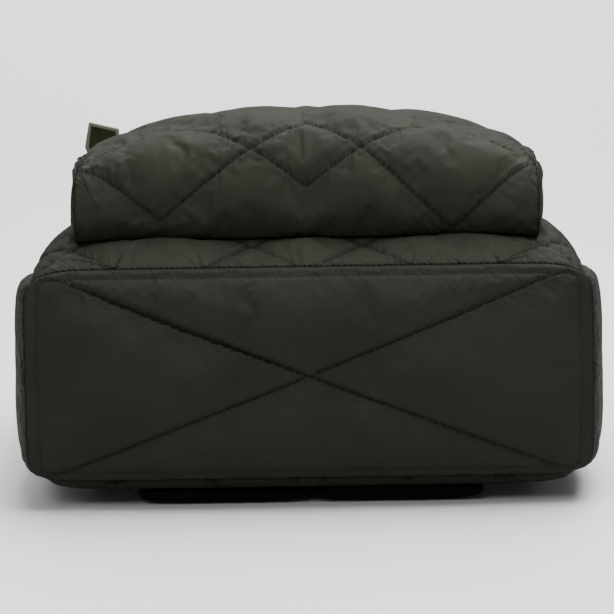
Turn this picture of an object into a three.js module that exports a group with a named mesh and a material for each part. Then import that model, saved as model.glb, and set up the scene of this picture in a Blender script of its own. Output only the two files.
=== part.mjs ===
// Quilted puffer backpack, lying on its back with its shoulder straps under it.
// Millimetres. +X is right, +Y runs from the bag's bottom to its top, +Z points from its back to its pocket.
// The origin is on the floor, under the middle of the bag.
import * as THREE from "three";

// Main compartment
const BAG_WIDTH = 332;
const BAG_HEIGHT = 400;
const SEAM_DEPTH = 116; // from the back seam to the front seam, at the bottom
const TOP_DEPTH = 84; // the same at the top
const BACK_SEAM_Z = 17;
const FRONT_DOME = 30;
const FRONT_SHELF = 0.35; // share of the height over which the front's flat lower end turns into a dome
const BACK_DOME = 4.4;
const SIDE_DOME = 13;
const BOTTOM_DOME = 10;
const TOP_ARCH = 26; // how far the top seam drops towards its corners
const CORNER_DROP = 9; // how far the front seam drops at its two sides

// Cloth and quilting
const WALL = 2.4;
const BACK_PADDING = 8;
const ZIP_WALL = 1.6;
const PUFF = 7;
const PUFF_REACH = 11; // distance from a stitch line at which the puff has most of its height
const SEAM_GAP = 0.4;
const SEAT_GAP = 0.8; // between the pocket's edges and the front panel under them
const INNER_SEAT_GAP = 1.5; // under the pocket's inner sheet, whose wider grid cuts across the dome
const QUILT_PERIOD = 160;
const QUILT_SLOPE = 0.77;
const QUILT_HALF = 23.5; // half the height of a small diamond
const QUILT_ROW = 100; // from one pair of zigzags to the next
const FRONT_QUILT_START = 20; // from the bottom seam to the first crossing
const POCKET_QUILT_START = 54;

// Front pocket
const POCKET_SIDE_MARGIN = 39; // from the bag's side to the pocket's
const POCKET_TAPER = 14;
const POCKET_WIDTH = BAG_WIDTH - 2 * POCKET_SIDE_MARGIN;
const POCKET_TOP_WIDTH = POCKET_WIDTH - POCKET_TAPER;
const POCKET_LENGTH = 226; // along Y
const POCKET_SET_BACK = 28; // from the bottom seam to the pocket's own seam
const POCKET_CROWN_Z = 206.5;
const POCKET_SIDE_DROP = 23;
const POCKET_SIDE_BULGE = 3;
const POCKET_ZIP_WIDTH = 12;

// Main zip
const ZIP_WIDTH = 10;
const ZIP_PLACE = 0.66; // share of the depth, from the back seam
const ZIP_CLEARANCE = 0.75; // from the zip to the strips beside it, and below their surface
const COIL_RISE = 1.1;
const ZIP_STATION = 15; // grid row of the side where the zip starts

// Straps
const STRAP_THICKNESS = 12;
const STRAP_WIDTH = 88;
const STRAP_LENGTH = 352;
const STRAP_OFFSET = 52; // from the middle of the bag to the middle of a strap
const STRAP_CURVE = 4;
const STRAP_SET_BACK = 28; // of the pad's upper end from the top of the bag
const STRAP_TOP_Y = BAG_HEIGHT / 2 - STRAP_SET_BACK;
const WEBBING_WIDTH = 25;
const WEBBING_THICKNESS = 1.6;
const ADJUSTER_THICKNESS = 3.2;
const ADJUSTER_BAR = 5;
const ADJUSTER_LENGTH = 30;
const ADJUSTER_PLACE = 0.82; // share of the strap's length from its top
const ADJUSTER_LIFT = 3;
const ADJUSTER_CLEARANCE = 1.1;
const STRAP_END_SHARE = 0.9; // width of the pad's ends, as a share of its full width
const STRAP_EDGE_SHARE = 0.6; // thickness of its edges
const ANCHOR_LENGTH = 44;
const ANCHOR_REACH = 16;
const ANCHOR_THICKNESS = 3;

// Handle, sliders and tabs
const HANDLE_SPAN = 92;
const HANDLE_REACH = 34;
const HANDLE_THICKNESS = 3;
const HANDLE_LIFT = 5.8; // of its feet over the top seam surface, clear of the puffs
const HANDLE_SEAT = 6; // from the back seam to the webbing's edge
const SLIDER = { long: 13, wide: 9 };
const PULL = { long: 30, wide: 7, thick: 1.8 };
const TAB = { long: 38, wide: 20, thick: 3 };
const TAB_STAND_OFF = 3.6; // behind the pocket's upper edge, clear of the zip
const POCKET_SLIDER_PLACE = 0.7; // share of the pocket's half width

// Grid of the panels
const SIDE_ROWS = 28;
const TOP_COLUMNS = 22;
const DEPTH_ROWS = 8;
const POCKET_COLUMNS = 20;
const POCKET_WALL_ROWS = 6;
const POCKET_ROWS = 24;
const STATIONS = 2 * SIDE_ROWS + TOP_COLUMNS;
const CELL = BAG_HEIGHT / SIDE_ROWS;

// Widths of the seam outline, as shares of its widest half width, at shares of the height
const SIDE_PROFILE = [
  { up: 0.0, wide: 0.98 },
  { up: 0.08, wide: 0.995 },
  { up: 0.2, wide: 1.0 },
  { up: 0.45, wide: 1.0 },
  { up: 0.65, wide: 0.985 },
  { up: 0.8, wide: 0.94 },
  { up: 0.92, wide: 0.86 },
  { up: 1.0, wide: 0.75 },
];

// Section of the pocket: place along its length and rise from the body to the crown, as shares
const POCKET_SECTION = [
  { along: 0.0, rise: 0.0 },
  { along: -0.026, rise: 0.25 },
  { along: -0.02, rise: 0.56 },
  { along: 0.02, rise: 0.81 },
  { along: 0.09, rise: 0.95 },
  { along: 0.22, rise: 1.0 },
  { along: 0.42, rise: 0.99 },
  { along: 0.72, rise: 0.82 },
  { along: 1.0, rise: 0.56 },
];

const SEAM_HALF = BAG_WIDTH / 2 - SIDE_DOME;
const BOTTOM_Y = BOTTOM_DOME - BAG_HEIGHT / 2;
const TOP_Y = BAG_HEIGHT / 2 - SIDE_DOME;
const SIDE_TOP_Y = TOP_Y - TOP_ARCH;
const POCKET_BOTTOM_Y = BOTTOM_Y + POCKET_SET_BACK;
const POCKET_TOP_Y = POCKET_BOTTOM_Y + POCKET_LENGTH;

const nylon = { color: 0x2b2b27, roughness: 0.62, metalness: 0 };
const webbing = { color: 0x1d1d1a, roughness: 0.8, metalness: 0 };
const zipper = { color: 0x1a1a18, roughness: 0.45, metalness: 0 };
const plastic = { color: 0x1b1b1a, roughness: 0.4, metalness: 0 };
const metal = { color: 0x5b5a55, roughness: 0.35, metalness: 1 };
const tabCloth = { color: 0x3a3a2c, roughness: 0.7, metalness: 0 };

const group = new THREE.Group();

function vec(x, y, z) {
  return new THREE.Vector3(x, y, z);
}

function mix(a, b, share) {
  return a + (b - a) * share;
}

// 0 at both ends of a span and 1 over its middle; a high power keeps the rise near the ends
function rise(share, power) {
  return 1 - Math.abs(2 * share - 1) ** power;
}

function addMesh(name, geometry, finish) {
  const mesh = new THREE.Mesh(geometry, new THREE.MeshStandardMaterial(finish));
  mesh.name = name;
  group.add(mesh);
  return mesh;
}

// Direction into the bag from a point on its skin: towards the nearest point of a box at its heart
function towardsBox(point, box) {
  const near = point.clone().clamp(box.min, box.max);
  return near.sub(point).normalize();
}

const BAG_MARGIN = 75;
const BAG_HEART_DEPTH = 6;
const POCKET_MARGIN = 46;
const BAG_HEART = new THREE.Box3(
  vec(BAG_MARGIN - BAG_WIDTH / 2, BAG_MARGIN - BAG_HEIGHT / 2, BACK_SEAM_Z + TOP_DEPTH / 2),
  vec(BAG_WIDTH / 2 - BAG_MARGIN, BAG_HEIGHT / 2 - BAG_MARGIN, BACK_SEAM_Z + TOP_DEPTH / 2 + BAG_HEART_DEPTH),
);
const POCKET_HEART = new THREE.Box3(
  vec(POCKET_MARGIN - POCKET_WIDTH / 2, POCKET_BOTTOM_Y + POCKET_MARGIN, BACK_SEAM_Z),
  vec(POCKET_WIDTH / 2 - POCKET_MARGIN, POCKET_TOP_Y - POCKET_MARGIN, POCKET_CROWN_Z - POCKET_MARGIN),
);

// A closed panel: a fine outer sheet, an inner sheet with half the rows and columns, and a rim.
// outer and inner give a point for column i and row j; both counts are even.
function sheet(name, finish, columns, rows, outer, inner) {
  const points = [];
  const faces = [];
  const outerAt = (i, j) => i * (rows + 1) + j;
  const innerStart = (columns + 1) * (rows + 1);
  const innerAt = (i, j) => innerStart + (i / 2) * (rows / 2 + 1) + j / 2;
  for (let i = 0; i <= columns; i++) for (let j = 0; j <= rows; j++) points.push(outer(i, j));
  for (let i = 0; i <= columns; i += 2) for (let j = 0; j <= rows; j += 2) points.push(inner(i, j));
  for (let i = 0; i < columns; i++) {
    for (let j = 0; j < rows; j++) {
      const [a, b, c, d] = [outerAt(i, j), outerAt(i + 1, j), outerAt(i + 1, j + 1), outerAt(i, j + 1)];
      const middle = outer(i + 0.5, j + 0.5);
      const missAC = points[a].clone().lerp(points[c], 0.5).distanceTo(middle);
      const missBD = points[b].clone().lerp(points[d], 0.5).distanceTo(middle);
      if (missAC < missBD) faces.push([a, b, c], [a, c, d]);
      else faces.push([a, b, d], [b, c, d]);
    }
  }
  for (let i = 0; i < columns; i += 2) {
    for (let j = 0; j < rows; j += 2) {
      const [a, b, c, d] = [innerAt(i, j), innerAt(i + 2, j), innerAt(i + 2, j + 2), innerAt(i, j + 2)];
      faces.push([a, c, b], [a, d, c]);
    }
  }
  const border = [];
  for (let i = 0; i < columns; i++) border.push([i, 0]);
  for (let j = 0; j < rows; j++) border.push([columns, j]);
  for (let i = columns; i > 0; i--) border.push([i, rows]);
  for (let j = rows; j > 0; j--) border.push([0, j]);
  for (let k = 0; k < border.length; k += 2) {
    const after = border[(k + 2) % border.length];
    const [a, b, c] = [outerAt(...border[k]), outerAt(...border[k + 1]), outerAt(...after)];
    const [p, q] = [innerAt(...border[k]), innerAt(...after)];
    faces.push([b, a, p], [b, p, q], [c, b, q]);
  }
  return addMesh(name, closedGeometry(points, faces), finish);
}

function closedGeometry(points, faces) {
  let volume = 0;
  for (const [a, b, c] of faces) {
    volume += points[a].dot(points[b].clone().cross(points[c]));
  }
  const turned = volume < 0 ? faces.map(([a, b, c]) => [a, c, b]) : faces;
  const geometry = new THREE.BufferGeometry();
  geometry.setFromPoints(points);
  geometry.setIndex(turned.flat());
  geometry.computeVertexNormals();
  return geometry;
}

// A cloth panel from its seam surface, which the puffs rise from and the wall lies under
function clothPanel(name, finish, columns, rows, at, heart, puff, wallAt = () => WALL) {
  const outer = (i, j) => {
    const point = at(i / columns, j / rows);
    return point.addScaledVector(towardsBox(point, heart), -puff(i / columns, j / rows, point));
  };
  const inner = (i, j) => {
    const point = at(i / columns, j / rows);
    return point.addScaledVector(towardsBox(point, heart), wallAt(i / columns, j / rows));
  };
  return sheet(name, finish, columns, rows, outer, inner);
}

// Distance to the nearest stitch line of the quilting: pairs of mirrored zigzags, one pair in each row
function stitchDistance(across, along) {
  const fold = Math.abs(across - QUILT_PERIOD * Math.round(across / QUILT_PERIOD));
  const level = along - QUILT_ROW * Math.round(along / QUILT_ROW);
  const down = QUILT_HALF - QUILT_SLOPE * fold;
  const nearest = Math.min(Math.abs(level - down), Math.abs(level + down));
  return nearest / Math.hypot(1, QUILT_SLOPE);
}

function puffHeight(distance, most = PUFF) {
  return most * (1 - Math.exp(-Math.max(0, distance) / PUFF_REACH));
}

// Seam outline of the front and back panels
const sideCurve = new THREE.SplineCurve(
  SIDE_PROFILE.map((row) => new THREE.Vector2(row.wide * SEAM_HALF, mix(BOTTOM_Y, SIDE_TOP_Y, row.up))),
);
sideCurve.arcLengthDivisions = 400;
const SIDE_LENGTH = sideCurve.getLength();

function frontSeamZ(y) {
  return BACK_SEAM_Z + mix(SEAM_DEPTH, TOP_DEPTH, (y - BOTTOM_Y) / (TOP_Y - BOTTOM_Y));
}

// The drop is close to the corners at the bottom, and spread along the seam at the top
function cornerDrop(across, up) {
  return CORNER_DROP * Math.abs(across) ** mix(18, 4, up);
}

// Plan of the front and back panels: across from -1 to 1, up from 0 to 1
function planPoint(across, up) {
  const side = sideCurve.getPointAt(up);
  const lift = TOP_ARCH * (1 - Math.abs(across) ** 3) * up ** 3;
  return new THREE.Vector2(across * side.x, side.y + lift);
}

// The front is flat from side to side near the bottom seam and domed further up
function frontPoint(across, up) {
  const plan = planPoint(across, up);
  const power = mix(18, 4, Math.min(1, up / FRONT_SHELF));
  const dome = FRONT_DOME * rise((across + 1) / 2, power) * rise(up, 3.6);
  return vec(plan.x, plan.y, frontSeamZ(plan.y) - cornerDrop(across, up) + dome);
}

function backPoint(across, up) {
  const plan = planPoint(across, up);
  const dome = BACK_DOME * rise((across + 1) / 2, 6) * rise(up, 8);
  return vec(plan.x, plan.y, BACK_SEAM_Z + cornerDrop(across, up) / 2 - dome);
}

// Height of the front panel's seam surface over a place in plan
function frontHeight(x, y) {
  let low = 0;
  let high = 1;
  for (let k = 0; k < 24; k++) {
    const up = (low + high) / 2;
    const across = x / sideCurve.getPointAt(up).x;
    if (planPoint(THREE.MathUtils.clamp(across, -1, 1), up).y < y) low = up;
    else high = up;
  }
  const across = THREE.MathUtils.clamp(x / sideCurve.getPointAt(low).x, -1, 1);
  return frontPoint(across, low).z;
}

// Side wall: station runs from the lower left corner over the top to the lower right one
function gussetPoint(station, depth) {
  const across = THREE.MathUtils.clamp((2 * (station - SIDE_ROWS)) / TOP_COLUMNS - 1, -1, 1);
  const up = Math.min(1, station / SIDE_ROWS, (STATIONS - station) / SIDE_ROWS);
  const plan = planPoint(across, up);
  const drop = cornerDrop(across, up);
  const point = vec(plan.x, plan.y, mix(BACK_SEAM_Z + drop / 2, frontSeamZ(plan.y) - drop, depth));
  const fromEnd = Math.min(station, STATIONS - station) / (SIDE_ROWS / 5);
  const swell = SIDE_DOME * mix(0.55, 1, Math.min(1, fromEnd) ** 0.7) * rise(depth, 4);
  return point.addScaledVector(towardsBox(point, BAG_HEART), -swell);
}

function bottomPoint(across, depth) {
  const left = gussetPoint(0, depth);
  const right = gussetPoint(STATIONS, depth);
  const point = left.lerp(right, (across + 1) / 2);
  point.z += (CORNER_DROP - cornerDrop(across, 0)) * mix(-0.5, 1, depth);
  point.y -= BOTTOM_DOME * rise((across + 1) / 2, 4) * rise(depth, 3);
  return point;
}

// Keeps a panel half a seam gap inside its seams: share runs from 0 to 1 over a length
function inset(share, length, gapStart = SEAM_GAP / 2, gapEnd = SEAM_GAP / 2) {
  return mix(gapStart / length, 1 - gapEnd / length, share);
}

function edgeDistance(shareA, lengthA, shareB, lengthB) {
  const a = Math.min(shareA, 1 - shareA) * lengthA;
  const b = Math.min(shareB, 1 - shareB) * lengthB;
  return Math.min(a, b);
}

// Main compartment
function makeFrontPanel() {
  const at = (a, b) => frontPoint(2 * inset(a, 2 * SEAM_HALF) - 1, inset(b, SIDE_LENGTH));
  const puff = (a, b, point) => {
    const overX = Math.abs(point.x) - POCKET_WIDTH / 2 - 3;
    const overY = Math.max(POCKET_BOTTOM_Y - point.y - 1, point.y - POCKET_TOP_Y - CELL);
    const fromPocket = Math.max(overX, overY);
    const stitch = stitchDistance(point.x, b * SIDE_LENGTH - FRONT_QUILT_START);
    return puffHeight(Math.min(stitch, edgeDistance(a, 2 * SEAM_HALF, b, SIDE_LENGTH), fromPocket));
  };
  clothPanel("front_panel", nylon, TOP_COLUMNS, SIDE_ROWS, at, BAG_HEART, puff);
}

function makeBackPanel() {
  const at = (a, b) => backPoint(2 * inset(a, 2 * SEAM_HALF) - 1, inset(b, SIDE_LENGTH));
  const wall = (a, b) => {
    const edge = edgeDistance(a, 2 * SEAM_HALF, b, SIDE_LENGTH);
    return mix(WALL, BACK_PADDING, Math.min(1, edge / (2 * CELL)));
  };
  clothPanel("back_panel", nylon, TOP_COLUMNS, SIDE_ROWS, at, BAG_HEART, () => 0, wall);
}

function makeBottomPanel() {
  const at = (a, b) => bottomPoint(2 * inset(a, 2 * SEAM_HALF) - 1, inset(b, SEAM_DEPTH));
  const puff = (a, b) => {
    const diagonal = Math.min(Math.abs(a - b), Math.abs(a + b - 1)) * SEAM_DEPTH * 0.94;
    return puffHeight(Math.min(diagonal, edgeDistance(a, 2 * SEAM_HALF, b, SEAM_DEPTH)));
  };
  clothPanel("bottom_panel", nylon, TOP_COLUMNS, DEPTH_ROWS, at, BAG_HEART, puff);
}

// A strip of the side wall between two stations and two shares of the depth
function makeGusset(name, finish, from, to, low, high, depthRows, puffOf, wall = WALL) {
  const stationLength = SIDE_LENGTH / SIDE_ROWS;
  const length = (to - from) * stationLength;
  const width = (high - low) * SEAM_DEPTH;
  const at = (a, b) =>
    gussetPoint(mix(from, to, inset(a, length)), mix(low, high, inset(b, width)));
  const puff = (a, b) => {
    const along = mix(from, to, a) * stationLength;
    const fromBottom = Math.min(along, STATIONS * stationLength - along);
    const across = (mix(low, high, b) - 0.5) * SEAM_DEPTH;
    const stitch = stitchDistance(across, fromBottom - FRONT_QUILT_START);
    return puffOf(stitch, edgeDistance(a, length, b, width), b);
  };
  clothPanel(name, finish, to - from, depthRows, at, BAG_HEART, puff, () => wall);
}

function makeSideWalls() {
  const zipLow = ZIP_PLACE - ZIP_WIDTH / 2 / SEAM_DEPTH;
  const zipHigh = ZIP_PLACE + ZIP_WIDTH / 2 / SEAM_DEPTH;
  const quilted = (stitch, edge) => puffHeight(Math.min(stitch, edge));
  const coil = (stitch, edge, b) => COIL_RISE * (1 - Math.abs(2 * b - 1)) - ZIP_CLEARANCE;
  const clear = ZIP_CLEARANCE / SEAM_DEPTH;
  const last = STATIONS - ZIP_STATION - 1;
  makeGusset("gusset_left", nylon, 0, ZIP_STATION + 1, 0, 1, DEPTH_ROWS, quilted);
  makeGusset("gusset_right", nylon, last, STATIONS, 0, 1, DEPTH_ROWS, quilted);
  makeGusset("zip_gusset_back", nylon, ZIP_STATION + 1, last, 0, zipLow, 4, quilted);
  makeGusset("zip_gusset_front", nylon, ZIP_STATION + 1, last, zipHigh, 1, 2, quilted);
  makeGusset("main_zip", zipper, ZIP_STATION + 1, last, zipLow + clear, zipHigh - clear, 2, coil, ZIP_WALL);
}

// Front pocket
function pocketHalf(y) {
  const share = THREE.MathUtils.clamp((y - POCKET_BOTTOM_Y) / POCKET_LENGTH, 0, 1);
  return mix(POCKET_WIDTH, POCKET_TOP_WIDTH, share) / 2;
}

const pocketSections = new Map();

// The pocket's section at a share of its half width, from its lower seam to its zip
function pocketSection(across) {
  const key = across.toFixed(5);
  if (!pocketSections.has(key)) {
    const crown = POCKET_CROWN_Z - POCKET_SIDE_DROP * Math.abs(across) ** 2.6;
    const points = POCKET_SECTION.map((row) => {
      const y = POCKET_BOTTOM_Y + row.along * POCKET_LENGTH;
      const x = across * pocketHalf(y);
      return vec(x, y, mix(frontHeight(x, y) + SEAT_GAP, crown, row.rise));
    });
    const curve = new THREE.CatmullRomCurve3(points, false, "centripetal");
    curve.arcLengthDivisions = 400;
    pocketSections.set(key, curve);
  }
  return pocketSections.get(key);
}

function pocketPoint(across, up) {
  return pocketSection(across).getPointAt(THREE.MathUtils.clamp(up, 0, 1));
}

// Distance of a place in plan outside the pocket's outline, negative inside it
function outsidePocket(point) {
  const overY = Math.max(POCKET_BOTTOM_Y - point.y, point.y - POCKET_TOP_Y);
  return Math.max(Math.abs(point.x) - POCKET_WIDTH / 2, overY);
}

// Lifts a point of the pocket clear of the front panel under it, and of its puffs outside the pocket
function seated(point, gap = SEAT_GAP) {
  const puff = PUFF * THREE.MathUtils.clamp(outsidePocket(point) / (CELL / 2), 0, 1);
  point.z = Math.max(point.z, frontHeight(point.x, point.y) + gap + puff);
  return point;
}

function pocketSheet(name, finish, columns, rows, at, puff, wall = WALL) {
  const outer = (i, j) => {
    const point = at(i / columns, j / rows);
    const out = towardsBox(point, POCKET_HEART);
    return seated(point.addScaledVector(out, -puff(i / columns, j / rows)));
  };
  const inner = (i, j) => {
    const point = at(i / columns, j / rows);
    return seated(point.addScaledVector(towardsBox(point, POCKET_HEART), wall), INNER_SEAT_GAP);
  };
  return sheet(name, finish, columns, rows, outer, inner);
}

function makePocketFront() {
  const length = pocketSection(0).getLength();
  const at = (a, b) => pocketPoint(2 * inset(a, POCKET_WIDTH) - 1, inset(b, length, 0));
  const puff = (a, b) => {
    const stitch = stitchDistance((a - 0.5) * POCKET_WIDTH, b * length - POCKET_QUILT_START);
    return puffHeight(Math.min(stitch, edgeDistance(a, POCKET_WIDTH, b, length)));
  };
  pocketSheet("pocket_front", nylon, POCKET_COLUMNS, POCKET_ROWS, at, puff);
}

// The pocket's side wall fills the outline between its seam with the front and its foot on the body
function makePocketSide(name, side) {
  const columns = POCKET_ROWS - POCKET_WALL_ROWS;
  const wallShare = POCKET_WALL_ROWS / POCKET_ROWS;
  const foot = (a) => {
    const y = mix(POCKET_BOTTOM_Y, POCKET_TOP_Y, a);
    return seated(vec(side * pocketHalf(y), y, 0));
  };
  const top = (a) => pocketPoint(side, mix(wallShare, 1, a));
  const front = (b) => pocketPoint(side, wallShare * b);
  const back = (b) => foot(1).lerp(top(1), b);
  const at = (shareA, shareB) => {
    const a = inset(shareA, POCKET_LENGTH, SEAM_GAP, SEAM_GAP);
    const b = inset(shareB, POCKET_CROWN_Z - frontHeight(0, 0), 0, SEAM_GAP);
    const point = foot(a).lerp(top(a), b).add(front(b).lerp(back(b), a));
    const corners = foot(0).lerp(foot(1), a).lerp(top(0).lerp(top(1), a), b);
    point.sub(corners);
    point.x += side * POCKET_SIDE_BULGE * rise(a, 6) * rise(b, 2);
    return point;
  };
  const puff = (a, b) => 0.5 * puffHeight(edgeDistance(a, POCKET_LENGTH, b, POCKET_LENGTH / 5));
  pocketSheet(name, nylon, columns, POCKET_WALL_ROWS, at, puff);
}

// The pocket's upper wall: the zip next to the front's seam, and a strip from it to the body
function makePocketTop() {
  const height = pocketPoint(0, 1).z - frontHeight(0, POCKET_TOP_Y);
  const zipShare = POCKET_ZIP_WIDTH / height;
  const at = (low, high) => (a, b) => {
    const across = 2 * inset(a, POCKET_TOP_WIDTH, SEAM_GAP, SEAM_GAP) - 1;
    const seam = pocketPoint(across, 1);
    const foot = seated(vec(seam.x, POCKET_TOP_Y + 1, 0));
    const point = foot.lerp(seam, mix(low, high, b));
    point.y += 2.5 * rise(mix(low, high, b), 2) + SEAM_GAP;
    return point;
  };
  const gap = SEAM_GAP / height;
  const strip = at(0, 1 - zipShare - gap / 2);
  const zip = at(1 - zipShare + gap / 2, 1 - gap);
  pocketSheet("pocket_zip_strip", nylon, POCKET_COLUMNS, 2, strip, () => 0, ZIP_WALL);
  const coil = (a, b) => COIL_RISE * (1 - Math.abs(2 * b - 1));
  pocketSheet("pocket_zip", zipper, POCKET_COLUMNS, 2, zip, coil, ZIP_WALL);
}

makeFrontPanel();
makeBackPanel();
makeBottomPanel();
makeSideWalls();
makePocketFront();
makePocketSide("pocket_side_left", -1);
makePocketSide("pocket_side_right", 1);
makePocketTop();

// Shoulder straps: padded, flat on the floor, with their upper face under the back panel
function strapMiddle(side, y) {
  const share = (STRAP_TOP_Y - y) / STRAP_LENGTH;
  return side * (STRAP_OFFSET + STRAP_CURVE * Math.sin(Math.PI * share));
}

function strapHalf(share) {
  return (STRAP_WIDTH / 2) * Math.min(1, STRAP_END_SHARE + 2.2 * Math.min(share, 1 - share));
}

function makeStrap(name, side) {
  const columns = 24;
  const rows = 6;
  const place = (i, j) => {
    const share = i / columns;
    const y = STRAP_TOP_Y - STRAP_LENGTH * share;
    return vec(strapMiddle(side, y) + (2 * j / rows - 1) * strapHalf(share), y, 0);
  };
  const outer = (i, j) => {
    const point = place(i, j);
    const fromEnd = 8 * Math.min(i / columns, 1 - i / columns);
    const fromSide = 3 * Math.min(j / rows, 1 - j / rows);
    point.z = STRAP_THICKNESS * mix(STRAP_EDGE_SHARE, 1, Math.sqrt(Math.min(fromEnd, fromSide, 1)));
    return point;
  };
  sheet(name, nylon, columns, rows, outer, place);
}

// A webbing ribbon along a curve through a few points, its width along one direction
function ribbon(name, finish, points, width, thickness, wideAlong, steps) {
  const curve = new THREE.CatmullRomCurve3(points, false, "centripetal");
  const place = (i, j, offset) => {
    const share = THREE.MathUtils.clamp(i / steps, 0, 1);
    const normal = curve.getTangentAt(share).cross(wideAlong).normalize();
    const point = curve.getPointAt(share).addScaledVector(wideAlong, (j / 2 - 0.5) * width);
    return point.addScaledVector(normal, offset);
  };
  const outer = (i, j) => place(i, j, thickness / 2);
  const inner = (i, j) => place(i, j, -thickness / 2);
  return sheet(name, finish, steps, 2, outer, inner);
}

// An outline in the plane, with holes, cut from flat stock and set on a place by three directions
function plate(name, finish, outline, holes, thickness, origin, along, up) {
  const shape = new THREE.Shape(outline.map(([x, y]) => new THREE.Vector2(x, y)));
  for (const hole of holes) shape.holes.push(new THREE.Path(hole.map(([x, y]) => new THREE.Vector2(x, y))));
  const geometry = new THREE.ExtrudeGeometry(shape, { depth: thickness, bevelEnabled: false });
  const mesh = addMesh(name, geometry, finish);
  const across = up.clone().cross(along).normalize();
  mesh.quaternion.setFromRotationMatrix(new THREE.Matrix4().makeBasis(along, across, up));
  mesh.position.copy(origin);
}

function rectangle(x0, x1, half) {
  return [[x0, -half], [x1, -half], [x1, half], [x0, half]];
}

// The strap's lower end: a ladder adjuster beside the pad, webbing through it, and a fabric wing
// that holds the webbing at the back seam
function backHeight(x, y) {
  const side = sideCurve.getPointAt((y - BOTTOM_Y) / SIDE_LENGTH);
  return backPoint(THREE.MathUtils.clamp(x / side.x, -1, 1), (y - BOTTOM_Y) / SIDE_LENGTH).z;
}

// Distance from the bag's middle to a strap's outer edge
function strapEdge(y) {
  return Math.abs(strapMiddle(1, y)) + strapHalf((STRAP_TOP_Y - y) / STRAP_LENGTH);
}

function makeStrapEnd(word, side) {
  const placeY = STRAP_TOP_Y - STRAP_LENGTH * ADJUSTER_PLACE;
  const half = WEBBING_WIDTH / 2 + 1;
  const reach = half + ADJUSTER_BAR;
  const start = Math.max(strapEdge(placeY - reach), strapEdge(placeY), strapEdge(placeY + reach)) + ADJUSTER_CLEARANCE;
  const window = (ADJUSTER_LENGTH - 3 * ADJUSTER_BAR) / 2;
  const secondBar = ADJUSTER_BAR + window;
  const thirdBar = 2 * secondBar;
  plate(
    "strap_adjuster_" + word,
    plastic,
    rectangle(0, ADJUSTER_LENGTH, reach),
    [
      rectangle(ADJUSTER_BAR, secondBar, half - ADJUSTER_BAR / 3),
      rectangle(secondBar + ADJUSTER_BAR, thirdBar, half),
    ],
    ADJUSTER_THICKNESS,
    vec(side * start, placeY, ADJUSTER_LIFT),
    vec(side, 0, 0),
    vec(0, 0, 1),
  );
  const wingBottom = (x) => backHeight(x, placeY) - SEAM_GAP - ANCHOR_THICKNESS;
  const webbingZ = (x) => wingBottom(x) - SEAM_GAP - WEBBING_THICKNESS / 2;
  const under = WEBBING_THICKNESS / 2 + SEAM_GAP;
  const over = ADJUSTER_LIFT + ADJUSTER_THICKNESS + WEBBING_THICKNESS / 2 + SEAM_GAP;
  const wingOut = SEAM_HALF - 4;
  const wingIn = wingOut - ANCHOR_REACH;
  const route = [
    [start + secondBar - 3, under],
    [start + secondBar + ADJUSTER_BAR - 1, under],
    [start + thirdBar, over + SEAM_GAP],
    [start + thirdBar + ADJUSTER_BAR, over + 2 * SEAM_GAP],
    [mix(wingIn, wingOut, 0.4), webbingZ(mix(wingIn, wingOut, 0.4))],
    [wingOut - 2, webbingZ(wingOut - 2)],
  ];
  const points = route.map(([x, z]) => vec(side * x, placeY, z));
  ribbon("strap_webbing_" + word, webbing, points, WEBBING_WIDTH, WEBBING_THICKNESS, vec(0, 1, 0), 16);
  const wing = (lower) => (i, j) => {
    const x = mix(wingIn, wingOut, i / 2);
    const long = mix(WEBBING_WIDTH + 4, ANCHOR_LENGTH, i / 2);
    const y = placeY + (j / 4 - 0.5) * long;
    return vec(side * x, y, backHeight(x, y) - SEAM_GAP - lower);
  };
  sheet("strap_anchor_" + word, nylon, 2, 4, wing(0), wing(ANCHOR_THICKNESS));
}

// Slider and pull in one flat outline, along X from the slider's nose to the end of the pull
function sliderOutline() {
  const neck = 1.6;
  const pullStart = SLIDER.long + 3;
  const pullEnd = SLIDER.long + PULL.long;
  const upper = [
    [0, SLIDER.wide / 3],
    [2, SLIDER.wide / 2],
    [SLIDER.long - 2, SLIDER.wide / 2],
    [SLIDER.long, neck],
    [pullStart, neck],
    [pullStart + 2, PULL.wide / 2],
    [pullEnd - 2, PULL.wide / 2],
    [pullEnd, PULL.wide / 4],
  ];
  const lower = upper.map(([x, y]) => [x, -y]).reverse();
  return [...lower, ...upper];
}

function makeSlider(name, place, along, out) {
  const straight = along.clone().addScaledVector(out, -along.dot(out)).normalize();
  const origin = place.clone().addScaledVector(out, COIL_RISE + SEAM_GAP);
  plate(name, metal, sliderOutline(), [], PULL.thick, origin, straight, out);
}

function makeMainSliders() {
  const middle = STATIONS / 2;
  for (const [word, way] of [["left", -1], ["right", 1]]) {
    const near = gussetPoint(middle + way * 0.3, ZIP_PLACE);
    const far = gussetPoint(middle + way * 3, ZIP_PLACE);
    const out = towardsBox(near, BAG_HEART).negate();
    makeSlider("main_slider_" + word, near.addScaledVector(out, -ZIP_CLEARANCE), far.sub(near).normalize(), out);
  }
}

// The closed pocket zip has its slider near the right end, with the pull lying along the coil
function makePocketSlider() {
  const [near, far] = [POCKET_SLIDER_PLACE, POCKET_SLIDER_PLACE / 2].map((across) => {
    const seam = pocketPoint(across, 1);
    return vec(seam.x, POCKET_TOP_Y + 2 * SEAM_GAP, seam.z - POCKET_ZIP_WIDTH / 2);
  });
  near.y += ZIP_WALL;
  makeSlider("pocket_slider", near, far.sub(near).normalize(), vec(0, 1, 0));
}

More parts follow.
